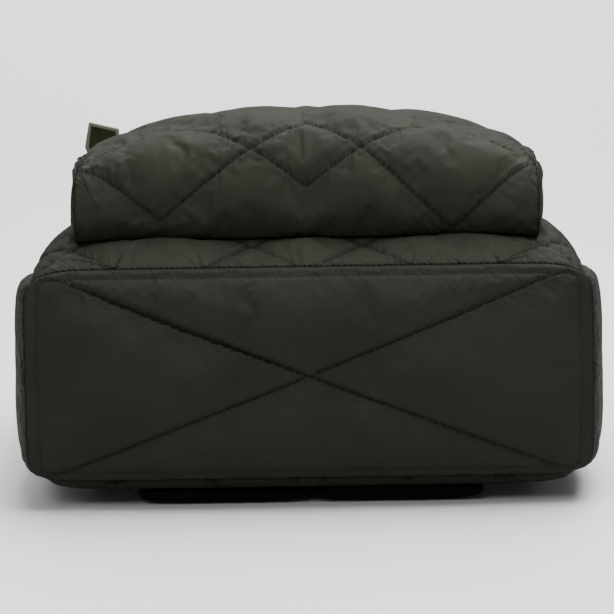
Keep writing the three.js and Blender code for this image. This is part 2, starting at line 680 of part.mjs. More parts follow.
// Grab handle: a webbing arch across the top of the back
function makeHandle() {
  const z = BACK_SEAM_Z + HANDLE_SEAT + WEBBING_WIDTH / 2;
  const half = HANDLE_SPAN / 2;
  const station = STATIONS / 2 + (TOP_COLUMNS / 2) * (half / sideCurve.getPointAt(1).x);
  const footY = gussetPoint(station, 0.3).y + HANDLE_LIFT;
  const points = [
    vec(-half, footY, z),
    vec(-half * 0.86, footY + HANDLE_REACH * 0.55, z),
    vec(-half * 0.45, footY + HANDLE_REACH * 0.94, z),
    vec(half * 0.45, footY + HANDLE_REACH * 0.94, z),
    vec(half * 0.86, footY + HANDLE_REACH * 0.55, z),
    vec(half, footY, z),
  ];
  ribbon("grab_handle", webbing, points, WEBBING_WIDTH, HANDLE_THICKNESS, vec(0, 0, 1), 20);
}

// Folded tabs at the ends of the pocket zip: the left one stands up, the right one lies along the zip
function makeTabs() {
  const foot = -TAB.wide / 2;
  const upright = [
    [TAB.wide * 0.1, foot],
    [TAB.wide * 0.1, TAB.long * 0.72],
    [-TAB.wide * 0.85, TAB.long * 0.84],
    [-TAB.wide, TAB.long * 0.42],
    [-TAB.wide * 0.5, foot],
  ];
  const low = [
    [0, foot],
    [0, 2],
    [-TAB.wide, 4],
    [-TAB.wide, foot],
  ];
  for (const [word, side, outline] of [["left", -1, upright], ["right", 1, low]]) {
    const corner = pocketPoint(side, 1);
    const origin = vec(corner.x, POCKET_TOP_Y + TAB_STAND_OFF + TAB.thick, corner.z);
    plate("zip_end_tab_" + word, tabCloth, outline, [], TAB.thick, origin, vec(1, 0, 0), vec(0, -1, 0));
  }
}

for (const [word, side] of [["left", -1], ["right", 1]]) {
  makeStrap("shoulder_strap_" + word, side);
  makeStrapEnd(word, side);
}
makeMainSliders();
makePocketSlider();
makeHandle();
makeTabs();

// The origin goes under the middle of the whole bag
const whole = new THREE.Box3().setFromObject(group, true);
const middle = whole.getCenter(new THREE.Vector3());
for (const mesh of group.children) mesh.position.add(vec(-middle.x, -middle.y, -whole.min.z));

export default group;
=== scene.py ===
# %% [markdown]
# A quilted puffer backpack lies on its back, its shoulder straps flat under it and its bottom to the viewer.
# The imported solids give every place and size. This lesson dresses them: it makes each padded panel as a
# fine grid of cloth, pins the grid along the stitch lines, lets air pressure raise the puffs, and then
# adds thread, zips, webbing and cloth finishes.

# %% Load the frame
import math

import bmesh
import bpy
import numpy as np
from mathutils import Matrix, Vector


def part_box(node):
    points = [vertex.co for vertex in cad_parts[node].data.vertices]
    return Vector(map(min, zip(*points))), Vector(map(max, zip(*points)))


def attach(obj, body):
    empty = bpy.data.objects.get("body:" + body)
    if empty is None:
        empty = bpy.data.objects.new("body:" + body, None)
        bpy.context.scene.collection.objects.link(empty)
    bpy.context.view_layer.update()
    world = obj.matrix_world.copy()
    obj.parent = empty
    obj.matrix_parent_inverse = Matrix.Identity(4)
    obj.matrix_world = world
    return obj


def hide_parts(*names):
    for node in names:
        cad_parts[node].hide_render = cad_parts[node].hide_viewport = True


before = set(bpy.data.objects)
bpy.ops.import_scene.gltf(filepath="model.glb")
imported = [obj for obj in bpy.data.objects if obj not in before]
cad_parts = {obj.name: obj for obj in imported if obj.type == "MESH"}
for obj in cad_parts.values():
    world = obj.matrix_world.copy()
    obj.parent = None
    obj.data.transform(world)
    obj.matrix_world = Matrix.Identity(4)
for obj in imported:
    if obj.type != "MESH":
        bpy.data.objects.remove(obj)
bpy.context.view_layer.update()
scene = bpy.context.scene
MM = 0.001

# %% [markdown]
# The camera stands low in front of the bag's bottom, a little above it, as for a catalogue picture.
# A long lens from 1.4 m keeps the width of the bag nearly true. The picture leans by one degree.

# %% The camera


def new_object(name, data):
    made = bpy.data.objects.new(name, data)
    scene.collection.objects.link(made)
    return made


CAMERA_TARGET = Vector((-0.0006, -0.215, 0.1126))
CAMERA_DISTANCE = 1.4
CAMERA_ELEVATION = math.radians(8.5)
CAMERA_ROLL = math.radians(-0.9)
VIEW_WIDTH = 0.3292  # metres across the picture at the target


def make_camera():
    data = bpy.data.cameras.new("catalogue_camera")
    data.sensor_width = 36
    data.lens = data.sensor_width * CAMERA_DISTANCE / VIEW_WIDTH
    camera = new_object("catalogue_camera", data)
    back = Vector((0, -math.cos(CAMERA_ELEVATION), math.sin(CAMERA_ELEVATION)))
    camera.location = CAMERA_TARGET + back * CAMERA_DISTANCE
    look = (-back).to_track_quat("-Z", "Y").to_matrix().to_4x4()
    camera.rotation_euler = (look @ Matrix.Rotation(CAMERA_ROLL, 4, "Z")).to_euler()
    scene.camera = camera
    return camera


camera = make_camera()
print("lens", round(camera.data.lens, 1), "mm")

# %% [markdown]
# A node tree is easiest to read when each node is added with its settings and links in one call.
# Colours are written as sRGB hex, the way a swatch book gives them, and one function makes them linear.

# %% Helpers for materials


def linear(hex_code):
    channels = [int(hex_code[i:i + 2], 16) / 255 for i in (0, 2, 4)]
    return [c / 12.92 if c <= 0.04045 else ((c + 0.055) / 1.055) ** 2.4 for c in channels] + [1.0]


def add(tree, kind, inputs=None, **settings):
    node = tree.nodes.new(kind)
    for name, value in settings.items():
        setattr(node, name, value)
    for socket, value in (inputs or {}).items():
        if isinstance(value, bpy.types.NodeSocket):
            tree.links.new(value, node.inputs[socket])
        else:
            node.inputs[socket].default_value = value
    return node


def new_material(name):
    material = bpy.data.materials.new(name)
    material.use_nodes = True
    tree = material.node_tree
    tree.nodes.clear()
    return material, tree


def finish_material(tree, colour, roughness, normal=None, **constants):
    shader = add(tree, "ShaderNodeBsdfPrincipled", {"Base Color": colour, "Roughness": roughness})
    for socket, value in constants.items():
        shader.inputs[socket.replace("_", " ")].default_value = value
    if normal is not None:
        tree.links.new(normal, shader.inputs["Normal"])
    add(tree, "ShaderNodeOutputMaterial", {"Surface": shader.outputs[0]})


def maths(tree, operation, first, second=0.0, third=0.0):
    return add(tree, "ShaderNodeMath", {0: first, 1: second, 2: third}, operation=operation).outputs[0]


def noise(tree, place, scale, detail, dimensions="2D", **inputs):
    inputs = {"Vector": place, "Scale": scale, "Detail": detail, **inputs}
    return add(tree, "ShaderNodeTexNoise", inputs, noise_dimensions=dimensions).outputs[0]


def bump_of(tree, height, strength=1.0, distance=1.0):
    inputs = {"Strength": strength, "Distance": distance, "Height": height}
    return add(tree, "ShaderNodeBump", inputs).outputs[0]


def tone_between(tree, factor, first, second):
    colours = {"Factor": factor, "A": first, "B": second}
    return add(tree, "ShaderNodeMix", colours, data_type="RGBA").outputs["Result"]


# %% [markdown]
# The shell is a down-proof nylon taffeta: a very fine plain weave, calendered so that it has a soft
# satin gleam. Round each stitch it gathers into small puckers that die out within a centimetre, and
# soft folds and fine crinkles run over the rest. Two UV maps carry this. "cloth" is the place on
# the flat fabric in metres. "stitch" is the distance to the nearest stitch line and the place along it.

# %% The shell nylon
STITCH_PITCH = 3.1  # mm from one stitch to the next
STITCH_REACH, DIMPLE, CRINKLE, FOLD, GRAIN = 0.75, 0.3, 0.22, 2.0, 0.05  # mm, the reach of a hole and depths
GATHERS = [((7, 30, 2.0, 7), 1.8), ((3.2, 14, 1.0, 3.5), 1.5)]  # what gathers() takes, and a depth (mm)


def nylon(name, dark, light, gleam, pucker=1.0, fold_size=(0.013, 0.05)):
    """pucker scales the gathers at the stitches. fold_size is how wide and how long the soft folds are."""
    material, tree = new_material(name)
    cloth = add(tree, "ShaderNodeUVMap", uv_map="cloth").outputs[0]
    stitch = add(tree, "ShaderNodeUVMap", uv_map="stitch").outputs[0]
    parts = add(tree, "ShaderNodeSeparateXYZ", {0: stitch})
    away, along = parts.outputs[0], parts.outputs[1]

    def fading(reach):
        return maths(tree, "POWER", 2.718, maths(tree, "MULTIPLY", away, -1 / (reach * MM)))

    def gathers(width, length, detail, reach):
        """Folds that run out from a stitch, so wide and long, and die out within the reach (mm)."""
        place = add(tree, "ShaderNodeCombineXYZ", {
            "X": maths(tree, "MULTIPLY", along, 1 / (width * MM)),
            "Y": maths(tree, "MULTIPLY", away, 1 / (length * MM))}).outputs[0]
        return maths(tree, "MULTIPLY", noise(tree, place, 1.0, detail), fading(reach))

    def crumple(size, detail, **inputs):
        place = add(tree, "ShaderNodeMapping", {"Vector": cloth, "Scale": (1 / size[0], 1 / size[1], 1.0)})
        return noise(tree, place.outputs[0], 1.0, detail, **inputs)

    near = fading(STITCH_REACH)
    dimple = maths(tree, "COSINE", maths(tree, "MULTIPLY", along, 2 * math.pi / (STITCH_PITCH * MM)))
    grain = noise(tree, cloth, 900.0, 1.0)
    height = maths(tree, "MULTIPLY", maths(tree, "MULTIPLY", dimple, near), DIMPLE * MM)
    layers = [(gathers(*shape), depth * pucker) for shape, depth in GATHERS]
    layers += [(crumple((0.012, 0.03), 4.0, Roughness=0.55), CRINKLE), (crumple(fold_size, 1.0), FOLD)]
    for layer, depth in layers + [(grain, GRAIN)]:
        height = maths(tree, "MULTIPLY_ADD", layer, depth * MM, height)
    tone = tone_between(tree, noise(tree, cloth, 22.0, 3.0), linear(dark), linear(light))
    # Painted shade: near each stitch the colour is pulled towards near black, most at the low points of the
    # dimples, for the shade in the groove.
    groove_shade_share = maths(tree, "MULTIPLY_ADD", dimple, -0.3, 0.45)
    groove_shade_tone = tone_between(tree, maths(tree, "MULTIPLY", near, groove_shade_share), tone, linear("060604"))
    rough = maths(tree, "MULTIPLY_ADD", grain, 0.16, gleam)
    bump = bump_of(tree, height)
    finish_material(tree, groove_shade_tone, rough, bump, Specular_IOR_Level=0.05)
    return material


shell_nylon = nylon("shell_nylon_taffeta", "1f201b", "282922", 0.6)
bottom_nylon = nylon("bottom_nylon_taffeta", "1e1f1a", "252621", 0.6, 0.6, (0.05, 0.025))
# Painted shade: the strap nylon is much darker than the shell. It stands in for the shade under the bag as
# well as for the strap's own dark colour.
strap_cloth_painted_shade = nylon("strap_taffeta_painted_shade", "070704", "0c0c08", 0.6, 0.6)
back_nylon = nylon("back_nylon_taffeta", "1c1c18", "24241f", 0.6, 0.8)

# %% [markdown]
# The trimmings differ from the shell in how they catch light. Webbing has cross ribs, zip tape a fine
# herringbone, the coil is a bare glossy thread of nylon, and the metal is dark plated and a little worn.

# %% Finishes of the trimmings


def ribbed_cloth(name, dark, light, rib, column, depth, rough):
    """Woven tape: ribs across it and finer columns along it, both in mm."""
    material, tree = new_material(name)
    cloth = add(tree, "ShaderNodeUVMap", uv_map="cloth").outputs[0]
    parts = add(tree, "ShaderNodeSeparateXYZ", {0: cloth})
    lean = maths(tree, "PINGPONG", parts.outputs[0], column * MM)
    turn = maths(tree, "MULTIPLY", maths(tree, "ADD", parts.outputs[1], lean), 2 * math.pi / (rib * MM))
    ribs = maths(tree, "MULTIPLY_ADD", maths(tree, "COSINE", turn), 0.5, 0.5)
    fuzz = noise(tree, cloth, 1400.0, 2.0)
    height = maths(tree, "MULTIPLY", maths(tree, "MULTIPLY_ADD", fuzz, 0.35, ribs), depth * MM)
    shade = maths(tree, "MULTIPLY_ADD", fuzz, 0.4, maths(tree, "MULTIPLY", ribs, 0.6))
    tone = tone_between(tree, shade, linear(dark), linear(light))
    finish_material(tree, tone, maths(tree, "MULTIPLY_ADD", fuzz, 0.2, rough), bump_of(tree, height),
                    Sheen_Weight=0.02, Specular_IOR_Level=0.12)
    return material


def hard_finish(name, dark, light, rough, spread, scale, **constants):
    """A hard surface with fine mottling and a faint unevenness in its gloss."""
    material, tree = new_material(name)
    place = add(tree, "ShaderNodeTexCoord").outputs["Object"]
    cloud = noise(tree, place, scale, 4.0, "3D")
    bump = bump_of(tree, noise(tree, place, 12 * scale, 2.0, "3D"), 0.3, 0.1 * MM)
    tone = tone_between(tree, cloud, linear(dark), linear(light))
    finish_material(tree, tone, maths(tree, "MULTIPLY_ADD", cloud, spread, rough), bump, **constants)
    return material


webbing_cloth = ribbed_cloth("ribbed_webbing", "121210", "20201d", 1.7, 3.1, 0.28, 0.6)
zip_cloth = ribbed_cloth("woven_zip_tape", "10100f", "1b1b19", 0.9, 1.2, 0.12, 0.55)
coil_nylon = hard_finish("zip_coil_nylon", "131312", "1e1e1c", 0.3, 0.2, 300.0)
thread_finish = hard_finish("bonded_nylon_thread", "0e0e0b", "151511", 0.7, 0.2, 500.0,
                            Specular_IOR_Level=0.1)
plated_steel = hard_finish("dark_plated_steel", "4a4843", "5e5b54", 0.25, 0.25, 180.0, Metallic=1.0)
moulded_plastic = hard_finish("moulded_acetal", "141414", "1b1b1b", 0.38, 0.18, 260.0)
tab_cloth = hard_finish("folded_olive_nylon", "1d2010", "26291a", 0.7, 0.2, 420.0, Specular_IOR_Level=0.1)
# The tab's bevelled rim and sides are coloured a paler olive than its two broad faces.
tab_pale_rim = hard_finish("pale_olive_rim", "4a4b3e", "5c5d50", 0.6, 0.2, 420.0, Specular_IOR_Level=0.2)
print("finishes ready")

# %% [markdown]
# Everything on the bag hangs on one shape: a seam outline in plan, a front that domes up, a back that
# lies nearly flat, and a side wall that swells between them. The sizes below are those of the solids,
# in millimetres, and the grid of each panel is worked out from them.

# %% Sizes of the bag
BAG_WIDTH, BAG_HEIGHT = 332, 400
SEAM_DEPTH, TOP_DEPTH, BACK_SEAM_Z = 116, 84, 17
FRONT_DOME, BACK_DOME, SIDE_DOME, BOTTOM_DOME = 30, 4.4, 13, 10
TOP_ARCH, CORNER_DROP, FRONT_SHELF = 26, 7, 0.35
WALL, SEAM_GAP = 2.4, 0.4
PUFF, PUFF_REACH = 7, 11
QUILT_PERIOD, QUILT_SLOPE, QUILT_HALF, QUILT_ROW = 160, 0.77, 23.5, 100
FRONT_QUILT_START, POCKET_QUILT_START = 20, 54
POCKET_WIDTH, POCKET_TOP_WIDTH, POCKET_LENGTH, POCKET_SET_BACK = 254, 240, 226, 28
POCKET_CROWN_Z, POCKET_SIDE_DROP, POCKET_SIDE_BULGE, SEAT_GAP = 206.5, 23, 3, 0.8
POCKET_ZIP_WIDTH, POCKET_WALL_SHARE = 12, 6 / 24
ZIP_WIDTH, ZIP_PLACE = 10, 0.66
SIDE_ROWS, TOP_ROWS, ZIP_ROWS = 28, 22, 16  # rows of the solids' grid up a side, over the top, up to the zip
RUN_ROWS = 2 * SIDE_ROWS + TOP_ROWS
SIDE_PROFILE = [(0.0, 0.98), (0.08, 0.995), (0.2, 1.0), (0.45, 1.0), (0.65, 0.985), (0.8, 0.94),
                (0.92, 0.86), (1.0, 0.75)]  # share of the height, share of the half width
POCKET_SECTION = [(0.0, 0.0), (-0.026, 0.25), (-0.02, 0.56), (0.02, 0.81), (0.09, 0.95), (0.22, 1.0),
                  (0.42, 0.99), (0.72, 0.82), (1.0, 0.56)]  # share of the length, share of the rise
SEAM_HALF = BAG_WIDTH / 2 - SIDE_DOME
BOTTOM_Y = BOTTOM_DOME - BAG_HEIGHT / 2
TOP_Y = BAG_HEIGHT / 2 - SIDE_DOME
SIDE_TOP_Y = TOP_Y - TOP_ARCH
POCKET_BOTTOM_Y = BOTTOM_Y + POCKET_SET_BACK
POCKET_TOP_Y = POCKET_BOTTOM_Y + POCKET_LENGTH
BAG_HEART = ((75 - 166, 75 - 200, 59), (166 - 75, 200 - 75, 65))
POCKET_HEART = ((46 - 127, POCKET_BOTTOM_Y + 46, 17), (127 - 46, POCKET_TOP_Y - 46, POCKET_CROWN_Z - 46))

# The solids are moved so that the origin is under the middle of the bag; the back panel tells how far.
SHIFT = np.array([0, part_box("back_panel")[0].y / MM - (BOTTOM_Y + SEAM_GAP / 2), 0])
print("moved along Y by", round(float(SHIFT[1]), 2), "mm")

# %% The bag's surfaces


def mix(a, b, share):
    return a + (b - a) * share


def rise(share, power):
    return 1 - np.abs(2 * share - 1) ** power


def stack(x, y, z):
    return np.stack(np.broadcast_arrays(x, y, z), -1).astype(float)


def spline_table(points, steps=60, centripetal=False):
    """Dense points of a Catmull-Rom curve, and the share of its length at each."""
    points = np.asarray(points, float)
    first = 2 * points[0] - points[1] if centripetal else points[0]
    last = 2 * points[-1] - points[-2] if centripetal else points[-1]
    padded = np.vstack([first, points, last])
    out = []
    for k in range(len(points) - 1):
        p0, p1, p2, p3 = padded[k:k + 4]
        t = np.linspace(0, 1, steps, endpoint=False)[:, None]
        m1, m2 = (p2 - p0) / 2, (p3 - p1) / 2
        if centripetal:
            d0, d1, d2 = [max(1e-4, np.linalg.norm(q - p) ** 0.5) for p, q in ((p0, p1), (p1, p2), (p2, p3))]
            m1 = ((p1 - p0) / d0 - (p2 - p0) / (d0 + d1) + (p2 - p1) / d1) * d1
            m2 = ((p2 - p1) / d1 - (p3 - p1) / (d1 + d2) + (p3 - p2) / d2) * d1
        cubic, square = 2 * p1 - 2 * p2 + m1 + m2, 3 * p2 - 3 * p1 - 2 * m1 - m2
        out.append(cubic * t ** 3 + square * t ** 2 + m1 * t + p1)
    dense = np.vstack(out + [points[-1:]])
    length = np.concatenate([[0], np.cumsum(np.linalg.norm(np.diff(dense, axis=0), axis=1))])
    return dense, length


side_dense, side_length = spline_table(
    [(wide * SEAM_HALF, mix(BOTTOM_Y, SIDE_TOP_Y, up)) for up, wide in SIDE_PROFILE])
SIDE_LENGTH = side_length[-1]


def side_at(up):
    reach = np.clip(up, 0, 1) * SIDE_LENGTH
    return np.interp(reach, side_length, side_dense[:, 0]), np.interp(reach, side_length, side_dense[:, 1])


def plan(across, up):
    side_x, side_y = side_at(up)
    return across * side_x, side_y + TOP_ARCH * (1 - np.abs(across) ** 3) * up ** 3


def corner_drop(across, up):
    return CORNER_DROP * np.abs(across) ** mix(18, 4, up)


def front_seam_z(y):
    return BACK_SEAM_Z + mix(SEAM_DEPTH, TOP_DEPTH, (y - BOTTOM_Y) / (TOP_Y - BOTTOM_Y))


def front_point(across, up):
    x, y = plan(across, up)
    power = mix(18, 4, np.minimum(1, up / FRONT_SHELF))
    dome = FRONT_DOME * rise((across + 1) / 2, power) * rise(up, 3.6)
    return stack(x, y, front_seam_z(y) - corner_drop(across, up) + dome)


def back_point(across, up):
    x, y = plan(across, up)
    dome = BACK_DOME * rise((across + 1) / 2, 6) * rise(up, 8)
    return stack(x, y, BACK_SEAM_Z + corner_drop(across, up) / 2 - dome)


def front_height(x, y):
    x, y = np.broadcast_arrays(np.asarray(x, float), np.asarray(y, float))
    low, high = np.zeros(x.shape), np.ones(x.shape)
    for _ in range(22):
        middle = (low + high) / 2
        below = plan(np.clip(x / side_at(middle)[0], -1, 1), middle)[1] < y
        low, high = np.where(below, middle, low), np.where(below, high, middle)
    return front_point(np.clip(x / side_at(low)[0], -1, 1), low)[..., 2]


def into(points, heart):
    near = np.clip(points, heart[0], heart[1])
    way = near - points
    return way / np.linalg.norm(way, axis=-1, keepdims=True)


TOP_SHARE = TOP_ROWS / RUN_ROWS  # share of the side wall's run that lies along the top
SLACK = 0.84  # the wall's cloth hangs a little inside the full swell of the solid


def gusset_point(run, depth):
    """run goes from 0 at the lower left corner over the top to 1 at the lower right one."""
    side_share = (1 - TOP_SHARE) / 2
    across = np.clip(2 * (run - side_share) / TOP_SHARE - 1, -1, 1)
    up = np.minimum(1, np.minimum(run, 1 - run) / side_share)
    x, y = plan(across, up)
    drop = corner_drop(across, up)
    point = stack(x, y, mix(BACK_SEAM_Z + drop / 2, front_seam_z(y) - drop, depth))
    from_end = np.minimum(1, np.minimum(run, 1 - run) * RUN_ROWS / (SIDE_ROWS / 5))
    bulge = SLACK * SIDE_DOME * mix(0.55, 1, from_end ** 0.7) * rise(depth, 10)
    return point - into(point, BAG_HEART) * bulge[..., None]


def bottom_point(across, depth):
    left, right = gusset_point(np.zeros_like(depth), depth), gusset_point(np.ones_like(depth), depth)
    point = mix(left, right, ((across + 1) / 2)[..., None])
    point[..., 2] += (CORNER_DROP - corner_drop(across, 0)) * mix(-0.5, 1, depth)
    point[..., 1] -= BOTTOM_DOME * rise((across + 1) / 2, 4) * rise(depth, 3)
    return point


def pocket_half(y):
    return mix(POCKET_WIDTH, POCKET_TOP_WIDTH, np.clip((y - POCKET_BOTTOM_Y) / POCKET_LENGTH, 0, 1)) / 2


section_tables = {}


def pocket_table(across):
    key = round(float(across), 5)
    if key not in section_tables:
        crown = POCKET_CROWN_Z + 0.8 - 0.87 * POCKET_SIDE_DROP * abs(across) ** 2.2
        y = np.array([POCKET_BOTTOM_Y + along * POCKET_LENGTH for along, _ in POCKET_SECTION])
        x = across * pocket_half(y)
        lift = np.array([part for _, part in POCKET_SECTION])
        z = mix(front_height(x, y) + SEAT_GAP, crown, lift)
        section_tables[key] = spline_table(stack(x, y, z), 40, True)
    return section_tables[key]


def pocket_column(across, up):
    dense, length = pocket_table(across)
    reach = np.clip(up, 0, 1) * length[-1]
    return np.stack([np.interp(reach, length, dense[:, k]) for k in range(3)], -1)


def pocket_point(across, up):
    """across and up are grids whose first index runs over the columns."""
    return np.stack([pocket_column(across[i, 0], up[i]) for i in range(len(across))])


POCKET_RUN = pocket_table(0)[1][-1]
print("side seam", round(SIDE_LENGTH), "mm, pocket cloth", round(POCKET_RUN), "mm")

# %% [markdown]
# Quilting is two mirrored zigzags that cross and recross, which leaves small and large diamonds in
# turn. A grid of cloth follows it only if vertices lie on the lines, so in each column the vertex
# nearest to a line is slid onto it. Those vertices are the pins of the simulation, and later they
# give the path of the thread.

# %% Stitch lines


QUILT_CROSSING = QUILT_HALF / QUILT_SLOPE  # how far from a diamond's middle its lines cross


def zigzag(across, row, sign, sag):
    """sag lowers the deep points at the left and at the right of the middle by so many mm."""
    fold = np.abs(across - QUILT_PERIOD * np.round(across / QUILT_PERIOD))
    beyond = np.maximum(0, fold - QUILT_CROSSING) / (QUILT_PERIOD / 2 - QUILT_CROSSING)
    deeper = max(0, sign) * beyond * np.where(across < 0, sag[0], sag[1])
    return row * QUILT_ROW + sign * (QUILT_HALF - QUILT_SLOPE * fold) - deeper


def quilt_lines(start, sag=(0.0, 0.0)):
    """Lines as functions that give the place along the cloth for places across it."""
    return [lambda across, r=row, s=sign: start + zigzag(across, r, s, sag)
            for row in range(-1, 9) for sign in (1, -1)]


def slide_onto(lines, across, along, margin, keep_out):
    """Slides the nearest vertex of each column onto each line. Gives the new places and the lines' paths."""
    rows = along.shape[1]
    paths, place = [], along.copy()
    for line in lines:
        miss = along - line(across)
        nearest = np.abs(miss).argmin(1)
        path = []
        for i, j in enumerate(nearest):
            target = line(across[i, j])
            inside = 0 < j < rows - 1 and margin < target < along[0, -1] - margin
            if inside and not keep_out[i, j]:
                place[i, j] = target
                path.append((i, int(j)))
            elif path:
                paths.append(path)
                path = []
        if path:
            paths.append(path)
    return place, [p for p in paths if len(p) > 2]


def line_distance(lines, across, along):
    away = np.full(along.shape, 1e3)
    for line in lines:
        run = np.abs(along - line(across))
        slope = np.abs(line(across + 0.5) - line(across - 0.5))
        away = np.minimum(away, run / np.hypot(1, slope))
    return away


# %% [markdown]
# Each panel is simulated as a sheet of cloth on its own. Its stitch lines and seams are pinned a
# little below the seam surface, the rest of the sheet is a few percent too large for its place, as
# quilted cloth is once the wadding lifts it, and a light pressure swells it. The surplus has nowhere
# to go near a pinned line, so it gathers into the folds that make a puffer look soft.

# %% The cloth simulation
BENDING = 2.0
random = np.random.default_rng(11)


def share_grid(columns, rows):
    return np.meshgrid(np.linspace(0, 1, columns + 1), np.linspace(0, 1, rows + 1), indexing="ij")


def edge_distance(a, b, width, length):
    return np.minimum(np.minimum(a, 1 - a) * width, np.minimum(b, 1 - b) * length)


def grid_faces(columns, rows):
    i, j = np.meshgrid(np.arange(columns - 1), np.arange(rows - 1), indexing="ij")
    a = (i * rows + j).ravel()
    return np.stack([a, a + rows, a + rows + 1, a + 1], 1)


def mesh_from(name, points, faces):
    mesh = bpy.data.meshes.new(name)
    mesh.from_pydata([tuple(p) for p in points], [], [tuple(int(v) for v in f) for f in faces])
    mesh.update()
    return mesh


def swell(name, places, pinned, pressure, surplus, frames=18):
    """Runs the cloth from the places given (mm) and gives the new places."""
    columns, rows = places.shape[:2]
    mesh = mesh_from(name + "_cloth", places.reshape(-1, 3) * MM, grid_faces(columns, rows))
    cloth_object = new_object(name + "_cloth", mesh)
    group = cloth_object.vertex_groups.new(name="pins")
    group.add([int(k) for k in np.flatnonzero(pinned.ravel())], 1.0, "REPLACE")
    cloth = cloth_object.modifiers.new("cloth", "CLOTH")
    settings = cloth.settings
    settings.quality = 5
    settings.mass = 0.15
    settings.tension_stiffness = settings.compression_stiffness = 15
    settings.shear_stiffness = 5
    settings.bending_stiffness = BENDING
    settings.air_damping = 2
    settings.vertex_group_mass = "pins"
    settings.shrink_min = -surplus
    settings.use_pressure = True
    settings.uniform_pressure_force = pressure
    settings.effector_weights.gravity = 0
    cloth.collision_settings.use_self_collision = False
    cloth.point_cache.frame_start, cloth.point_cache.frame_end = 1, frames
    for step in range(1, frames + 1):
        scene.frame_set(step)
    shown = cloth_object.evaluated_get(bpy.context.evaluated_depsgraph_get())
    moved = np.zeros(columns * rows * 3)
    shown.data.vertices.foreach_get("co", moved)
    bpy.data.objects.remove(cloth_object)
    bpy.data.meshes.remove(mesh)
    scene.frame_set(1)
    return moved.reshape(columns, rows, 3) / MM


def finer(values):
    """Halves the spacing of a grid with a cubic through its neighbours."""
    for axis in (0, 1):
        v = np.moveaxis(values, axis, 0)
        ends = np.concatenate([2 * v[:1] - v[1:2], v, 2 * v[-1:] - v[-2:-1]])
        between = (9 * (ends[1:-2] + ends[2:-1]) - ends[:-3] - ends[3:]) / 16
        out = np.empty((2 * len(v) - 1,) + v.shape[1:])
        out[0::2], out[1::2] = v, between
        values = np.moveaxis(out, 0, axis)
    return values


# %% Closing sheets and sections into solid pieces
INNER_STRIDE = 8


def closed_object(name, points, faces, maps):
    """A closed mesh of points in mm, with its normals outward and a UV map for each table of places."""
    mesh = mesh_from(name, points * MM, faces)
    shell = bmesh.new()
    shell.from_mesh(mesh)
    if shell.calc_volume(signed=True) < 0:
        mesh.flip_normals()
    shell.free()
    corners = np.zeros(len(mesh.loops), int)
    mesh.loops.foreach_get("vertex_index", corners)
    for map_name, table in maps.items():
        mesh.uv_layers.new(name=map_name).data.foreach_set("uv", (table[corners] * MM).ravel())
    mesh.shade_smooth()
    return new_object(name, mesh)


def closed_panel(name, outer, inner, maps):
    """A solid panel: the fine outer grid, a coarse inner grid and a rim. maps are named grids of UVs."""
    columns, rows = outer.shape[:2]
    inner_rows = inner.shape[1]
    start = columns * rows
    inside = grid_faces(*inner.shape[:2])[:, ::-1] + start
    border = [(i, 0) for i in range(columns - 1)] + [(columns - 1, j) for j in range(rows - 1)]
    border += [(i, rows - 1) for i in range(columns - 1, 0, -1)] + [(0, j) for j in range(rows - 1, 0, -1)]
    rim = []
    half = INNER_STRIDE // 2
    for k in range(0, len(border), INNER_STRIDE):
        run = [border[(k + n) % len(border)] for n in range(INNER_STRIDE + 1)]
        fine = [i * rows + j for i, j in run]
        p, q = [start + (i // INNER_STRIDE) * inner_rows + j // INNER_STRIDE for i, j in (run[0], run[-1])]
        rim += [(fine[n + 1], fine[n], p) for n in range(half)]
        rim += [(fine[half], p, q)]
        rim += [(fine[n + 1], fine[n], q) for n in range(half, INNER_STRIDE)]
    points = np.vstack([outer.reshape(-1, 3), inner.reshape(-1, 3)])
    tables = {key: np.vstack([grid.reshape(-1, 2), grid[::INNER_STRIDE, ::INNER_STRIDE].reshape(-1, 2)])
              for key, grid in maps.items()}
    return closed_object(name, points, list(grid_faces(columns, rows)) + list(inside) + rim, tables)


def lofted(name, rings, maps):
    """A closed piece through sections of the same number of points, with flat ends."""
    count, around = rings.shape[:2]
    i, j = np.meshgrid(np.arange(count - 1), np.arange(around), indexing="ij")
    a, b = (i * around + j).ravel(), (i * around + (j + 1) % around).ravel()
    faces = list(np.stack([a, a + around, b + around, b], 1))
    faces += [range(around), range(count * around - 1, (count - 1) * around - 1, -1)]
    tables = {key: grid.reshape(-1, 2) for key, grid in maps.items()}
    return closed_object(name, rings.reshape(-1, 3), faces, tables)


def dress(piece, material, slot, *nodes, fill=None):
    """Gives a finished piece its material, hides the solids it replaces and hangs it on the root."""
    piece.data.materials.clear()
    piece.data.materials.append(material)
    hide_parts(*nodes)
    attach(piece, "root")
    return piece


# %% One recipe for all quilted panels
SINK, SINK_EASE = 1.0, 16  # mm that a stitch pulls the cloth down, fully at this distance from the edge
START_SHARE, JITTER = 0.6, 0.03  # the sheet starts at this share of its puff, with this unevenness (mm)
TOPSTITCH_CELLS = 3  # a topstitch runs this many cells inside the seam
PULL_DEPTH, PULL_REACH = 2.2, 7.0  # mm that a tight seam is pulled deeper, and how far the cloth follows
ROW_EASE = 1.5  # mm; a row of topstitching bites the cloth less than quilting does
threads = []


def even_cells(length, cell):
    return max(4, 4 * round(length / cell / 4))


def fabric_maps(across, along, away, run):
    return {"cloth": stack2(across, along), "stitch": stack2(away, run)}


def stack2(u, v):
    return np.stack(np.broadcast_arrays(u, v), -1).astype(float)


